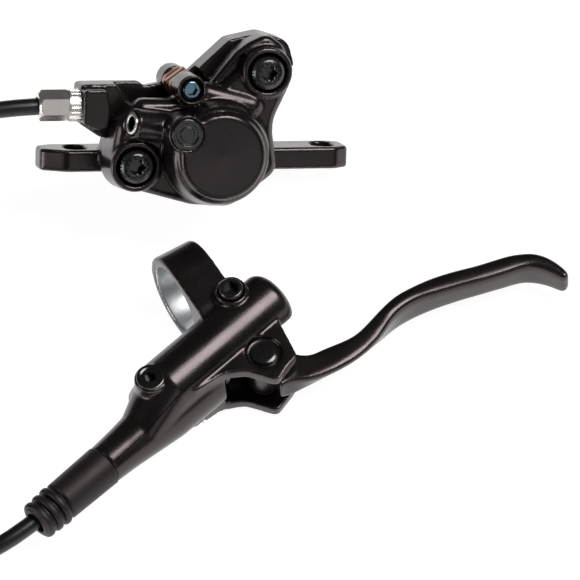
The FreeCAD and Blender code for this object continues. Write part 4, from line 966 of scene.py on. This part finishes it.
@dataclass(frozen=True)
class MouldLine:
    """Parting line along the cylinder housing, a low ridge painted near black as the shade along
    its step, in millimetres.

    Attributes:
        aside: How far it runs to the side of the cylinder's line.
        start: Where it starts along that line.
        end: Where it ends.
        half: Half its width.
        rise: Its height.
        sunk: How far its sides reach into the casting.
        step: Distance between its rows of points.
        clear: Height from which the casting is looked for.
        shares: Places across it, as shares of the half width.
    """

    aside: float
    start: float
    end: float
    half: float
    rise: float
    sunk: float = 0.03
    step: float = 0.5
    clear: float = 30.0
    shares: tuple[float, ...] = (-1.0, -0.5, 0.0, 0.5, 1.0)

    def build(self, casting):
        """Low ridge laid on the casting.

        Across the line the ridge's height is h (1 - (q / b)^2) - d for -b <= q <= b.

        Args:
            casting: Object that the ridge lies on.

        Returns:
            The ridge's object.
        """
        tree = BVHTree.FromObject(casting, bpy.context.evaluated_depsgraph_get())
        down = -Vector(LEVER.axes()[2])
        rows = []
        for s in np.arange(self.start, self.end, self.step):
            for share in self.shares:
                above = LEVER.at(on_cylinder(s, self.aside + share * self.half, self.clear))[0]
                hit = tree.ray_cast(Vector(above), down)[0]
                height = self.rise * (1 - share ** 2) - self.sunk
                rows.append(hit - down * height * MM)
        across = len(self.shares)
        faces = []
        for i in range(len(rows) // across - 1):
            for j in range(across - 1):
                here = across * i + j
                faces.append((here, here + across, here + across + 1, here + 1))
        made = new_mesh("mould_line_painted_shade", rows, faces)
        shade_smooth(made.data, SHARP_NEVER)
        # Painted shade: the ridge is coloured near black for the shade along the step.
        dress(made, FINISHES["painted_shade_line"])
        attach(made, "brake_frame")
        return made


MOULD_LINE = MouldLine(aside=-3.25, start=-53.6, end=-12.0, half=0.17, rise=0.07)


@dataclass(frozen=True)
class HoseRoute:
    """Line of the hose, in metres.

    Attributes:
        lever_points: Points from the lever joint to the coil.
        caliper_points: Points from the caliper joint to the coil.
        coil_centre: Middle of the coil on the floor.
        radius: Half the hose's thickness.
        turns: Rings of the coil in order, as radius and height.
        first_angle: Place where the hose enters the coil, in degrees.
        last_angle: Place where it leaves, counted on through the turns.
        steps: Points on each turn.
        ease: Last part of a turn, over which it goes on to the next ring.
    """

    lever_points: tuple
    caliper_points: tuple
    coil_centre: tuple[float, float]
    radius: float
    turns: tuple
    first_angle: float
    last_angle: float
    steps: int = 24
    ease: float = 0.20

    def coil(self) -> np.ndarray:
        """Points along the coil.

        At angle a the ring has radius r and height z, each eased from one turn to the
        next by 3 t^2 - 2 t^3. A control point lies outside the ring by 1 / cos(pi / n),
        so that the curve keeps the radius: p = c + r (cos a, sin a) / cos(pi / n), z.

        Returns:
            Array of points, n by 3.
        """
        swept = self.first_angle - self.last_angle
        count = int(round(swept / 360.0 * self.steps))
        last = len(self.turns) - 1
        rows = []
        for i in range(1, count):
            turn = i / self.steps
            whole = min(int(turn), last)
            share = min(max((turn - whole - (1 - self.ease)) / self.ease, 0.0), 1.0)
            share = share * share * (3 - 2 * share)
            here = self.turns[whole]
            ahead = self.turns[min(whole + 1, last)]
            ring = here[0] + (ahead[0] - here[0]) * share
            rise = here[1] + (ahead[1] - here[1]) * share
            angle = math.radians(self.first_angle - i * 360.0 / self.steps)
            reach = ring / math.cos(math.pi / self.steps)
            rows.append((
                self.coil_centre[0] + reach * math.cos(angle),
                self.coil_centre[1] + reach * math.sin(angle),
                rise,
            ))
        return np.array(rows)

    def points(self) -> np.ndarray:
        """All control points from the lever to the caliper."""
        home = np.array(self.caliper_points)[::-1]
        return np.vstack([np.array(self.lever_points), self.coil(), home])


HOSE = HoseRoute(
    lever_points=(
        (-0.0567078, -0.0531161, 0.0112998),
        (-0.0802207, -0.072364, 0.0103927),
        (-0.0967816, -0.0793967, 0.0080),
        (-0.1140816, -0.0823967, 0.0052),
        (-0.1311816, -0.0759967, 0.0032),
        (-0.1450816, -0.0599967, 0.00255),
    ),
    caliper_points=(
        (-0.0526087, 0.0510183, 0.0446603),
        (-0.075717, 0.0489641, 0.0508072),
        (-0.0953816, 0.0474033, 0.0475),
        (-0.1122816, 0.0412033, 0.0390),
        (-0.1243816, 0.0330033, 0.0275),
        (-0.1343816, 0.0220033, 0.0165),
        (-0.1426816, 0.0072033, 0.0100),
        (-0.1489816, -0.0097967, 0.0078),
        (-0.1526816, -0.0309967, 0.0076),
    ),
    coil_centre=(-0.1238816, -0.0387967),
    radius=0.0025,
    turns=((0.030, 0.00252), (0.025, 0.00252), (0.025, 0.00752), (0.030, 0.00752)),
    first_angle=225.0,
    last_angle=-1275.0,
)


def build_hose(route: HoseRoute, tie):
    """The hose as one open smooth spline.

    Args:
        route: Its line.
        tie: Tie round its coil; not used.

    Returns:
        The curve object.
    """
    curve = bpy.data.curves.new("hose", "CURVE")
    curve.dimensions = "3D"
    curve.bevel_depth = route.radius
    curve.bevel_resolution = 5
    curve.resolution_u = 6
    curve.use_fill_caps = True
    line = curve.splines.new("NURBS")
    rows = route.points()
    line.points.add(len(rows) - 1)
    flat = np.hstack([rows, np.ones((len(rows), 1))]).astype(np.float32)
    line.points.foreach_set("co", flat.ravel())
    line.order_u = 3
    line.use_endpoint_u = True
    hose = link(bpy.data.objects.new("hose", curve))
    dress(hose, FINISHES["hose"])
    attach(hose, "brake_frame")
    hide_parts("hose_lever_end", "hose_coil", "hose_caliper_end")
    log.info("hose: %d control points", len(rows))
    return hose


@dataclass(frozen=True)
class CoilTie:
    """Strap that holds the coil of hose together, in metres.

    Attributes:
        angle: Where it sits on the coil, in degrees.
        middle: Radius of the coil's middle.
        half: Half the coil's width, with the strap.
        top: Height of the strap's top.
        low: Height of its lowest side.
        width: Width of the strap.
        thickness: Its thickness.
        corner: Radius of its outer corners.
        head_half: Half the width of its head.
        head_depth: Where the head starts and ends, outward from the strap.
        head_height: Heights of the head's lower and upper side.
    """

    angle: float
    middle: float
    half: float
    top: float
    low: float
    width: float
    thickness: float
    corner: float = 2.2 * MM
    head_half: float = 2.1 * MM
    head_depth: tuple[float, float] = (-0.3 * MM, 2.2 * MM)
    head_height: tuple[float, float] = (3.2 * MM, 7.4 * MM)

    def section(self, inset: float) -> list[tuple[float, float]]:
        """Rounded loop round the coil's section, as radius and height, less an inset.

        Each corner is a quarter circle of radius c about m: p = m + c (cos a, sin a).
        """
        corner = self.corner - inset
        left, right = self.middle - self.half + inset, self.middle + self.half - inset
        low, high = self.low + inset, self.top - inset
        middles = [
            (right - corner, low + corner, -90),
            (right - corner, high - corner, 0),
            (left + corner, high - corner, 90),
            (left + corner, low + corner, 180),
        ]
        rows = []
        for x, z, start in middles:
            for lean in range(0, 91, 15):
                angle = math.radians(start + lean)
                rows.append((x + corner * math.cos(angle), z + corner * math.sin(angle)))
        return rows

    def build(self, centre: tuple[float, float]):
        """Strap with its square head on the outside.

        Args:
            centre: Middle of the coil on the floor.

        Returns:
            The strap's object.
        """
        turn = math.radians(self.angle)
        outward = np.array([math.cos(turn), math.sin(turn), 0.0])
        aside = np.array([-math.sin(turn), math.cos(turn), 0.0])
        upward = np.array([0.0, 0.0, 1.0])
        base = np.array([*centre, 0.0])

        def point(x: float, side: float, z: float) -> np.ndarray:
            """Point at a radius from the coil's middle, aside of the strap and above the floor."""
            return base + outward * x + aside * side + upward * z

        points = []
        for inset, side in ((0.0, -1), (0.0, 1), (self.thickness, 1), (self.thickness, -1)):
            points += [point(x, side * self.width / 2, z) for x, z in self.section(inset)]
        faces = [face[::-1] for face in ring_faces(4, len(points) // 4)]
        start = len(points)
        near, far = [self.middle + self.half + depth for depth in self.head_depth]
        for z in self.head_height:
            for x, side in ((near, -1), (far, -1), (far, 1), (near, 1)):
                points.append(point(x, side * self.head_half, z))
        box = [(3, 2, 1, 0), (4, 5, 6, 7), (0, 1, 5, 4), (1, 2, 6, 5), (2, 3, 7, 6), (3, 0, 4, 7)]
        faces += [tuple(start + i for i in face) for face in box]
        made = new_mesh("coil_tie", points, faces)
        shade_smooth(made.data, SHARP_FLAT)
        dress(made, FINISHES["tie"])
        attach(made, "brake_frame")
        return made


COIL_TIE = CoilTie(
    angle=150.0,
    middle=0.0275,
    half=0.0053,
    top=0.0105,
    low=0.00005,
    width=0.0026,
    thickness=0.0005,
)


def dress_nodes() -> None:
    """Give every CAD node that stays its finish."""
    for name, node in frame["nodes"].items():
        dress(node, FINISHES[FINISH_OF_NODE.get(name, SLOTS[name])])
        shade_smooth(node.data, SHARP_FLAT)


@dataclass(frozen=True)
class View:
    """The photograph's view.

    Attributes:
        right: Camera's right.
        up: Camera's up.
        back: Direction from the subject to the camera.
        target: Point in the middle of the picture.
        distance: Camera distance.
        width: Width of the picture at the target.
        sensor: Width of the camera's sensor, in its millimetres.
    """

    right: tuple[float, float, float]
    up: tuple[float, float, float]
    back: tuple[float, float, float]
    target: tuple[float, float, float]
    distance: float
    width: float
    sensor: float = 36.0

    def build(self):
        """Camera for this view, with the lens f = s d / w."""
        data = bpy.data.cameras.new("camera")
        data.sensor_width = self.sensor
        data.lens = self.sensor * self.distance / self.width
        data.clip_start = 0.1
        data.clip_end = 20.0
        camera = link(bpy.data.objects.new("camera", data))
        turn = Matrix((self.right, self.up, self.back)).transposed().to_4x4()
        stand = Vector(self.target) + Vector(self.back) * self.distance
        camera.matrix_world = Matrix.Translation(stand) @ turn
        bpy.context.scene.camera = camera
        return camera


VIEW = View(
    right=(0.99403, -0.08653, -0.06647),
    up=(0.10911, 0.78829, 0.60555),
    back=(0.0, -0.60919, 0.79302),
    target=(0.0006184, 0.0102033, 0.0),
    distance=2.6,
    width=0.1681,
)


def build_floor(half: float = 3.0):
    """White table well past the picture, lit from below like a light table.

    Args:
        half: Half its width, in metres.

    Returns:
        The table's object.
    """
    corners = [(-half, -half, 0), (half, -half, 0), (half, half, 0), (-half, half, 0)]
    floor = new_mesh("floor", corners, [(0, 1, 2, 3)])
    made = bpy.data.materials.new("white_table")
    made.use_nodes = True
    set_inputs(made.node_tree.nodes["Principled BSDF"], {
        "Base Color": (0.25, 0.25, 0.25, 1.0),
        "Roughness": 0.9,
        "Specular IOR Level": 0.0,
        "Emission Color": (1.0, 1.0, 1.0, 1.0),
        "Emission Strength": 0.95,
    })
    floor.data.materials.append(made)
    return floor


@dataclass(frozen=True)
class SoftBox:
    """A rectangular area light aimed at the object.

    Attributes:
        name: Object name.
        towards: Direction from the object to the light.
        distance: Its distance, in metres.
        size: Its width and height, in metres.
        radiance: How bright its face is.
    """

    name: str
    towards: tuple[float, float, float]
    distance: float
    size: tuple[float, float]
    radiance: float

    def build(self):
        """Add the light; its power is pi times radiance times area.

        Returns:
            The light object.
        """
        data = bpy.data.lights.new(self.name, "AREA")
        data.shape = "RECTANGLE"
        data.size, data.size_y = self.size
        data.energy = math.pi * self.radiance * self.size[0] * self.size[1]
        light = link(bpy.data.objects.new(self.name, data))
        away = Vector(self.towards).normalized()
        light.location = away * self.distance
        light.rotation_euler = (-away).to_track_quat("-Z", "Y").to_euler()
        return light


LIGHTS = [
    SoftBox("key", (0.499, -0.078, 0.863), 1.2, (0.60, 0.56), 9.0),
    SoftBox("left_strip", (-0.88, -0.38, 0.32), 1.2, (0.45, 0.70), 4.2),
    SoftBox("front_fill", (0.35, -0.84, 0.42), 1.3, (0.70, 0.35), 0.6),
]


def build_world() -> None:
    """Dim even surroundings beyond the table."""
    world = bpy.data.worlds.new("surroundings")
    world.use_nodes = True
    background = world.node_tree.nodes["Background"]
    set_inputs(background, {"Color": (1.0, 1.0, 1.0, 1.0), "Strength": 0.035})
    bpy.context.scene.world = world
    bpy.context.scene.view_settings.view_transform = "Standard"


def main() -> None:
    """Dress the model, light it and set the camera."""
    logging.basicConfig(level=logging.INFO, format="%(message)s")
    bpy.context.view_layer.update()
    dress_nodes()
    castings = {casting.node: casting.build() for casting in CASTINGS}
    MOULD_LINE.build(castings["lever_body"])
    for piece in (*KNURLS, *SOCKETS, BLEED_RING, *TURNED, MASTER_SPRING):
        piece.build()
    build_hose(HOSE, COIL_TIE.build(HOSE.coil_centre))
    build_floor()
    for light in LIGHTS:
        light.build()
    build_world()
    VIEW.build()


if __name__ == "__main__":
    main()
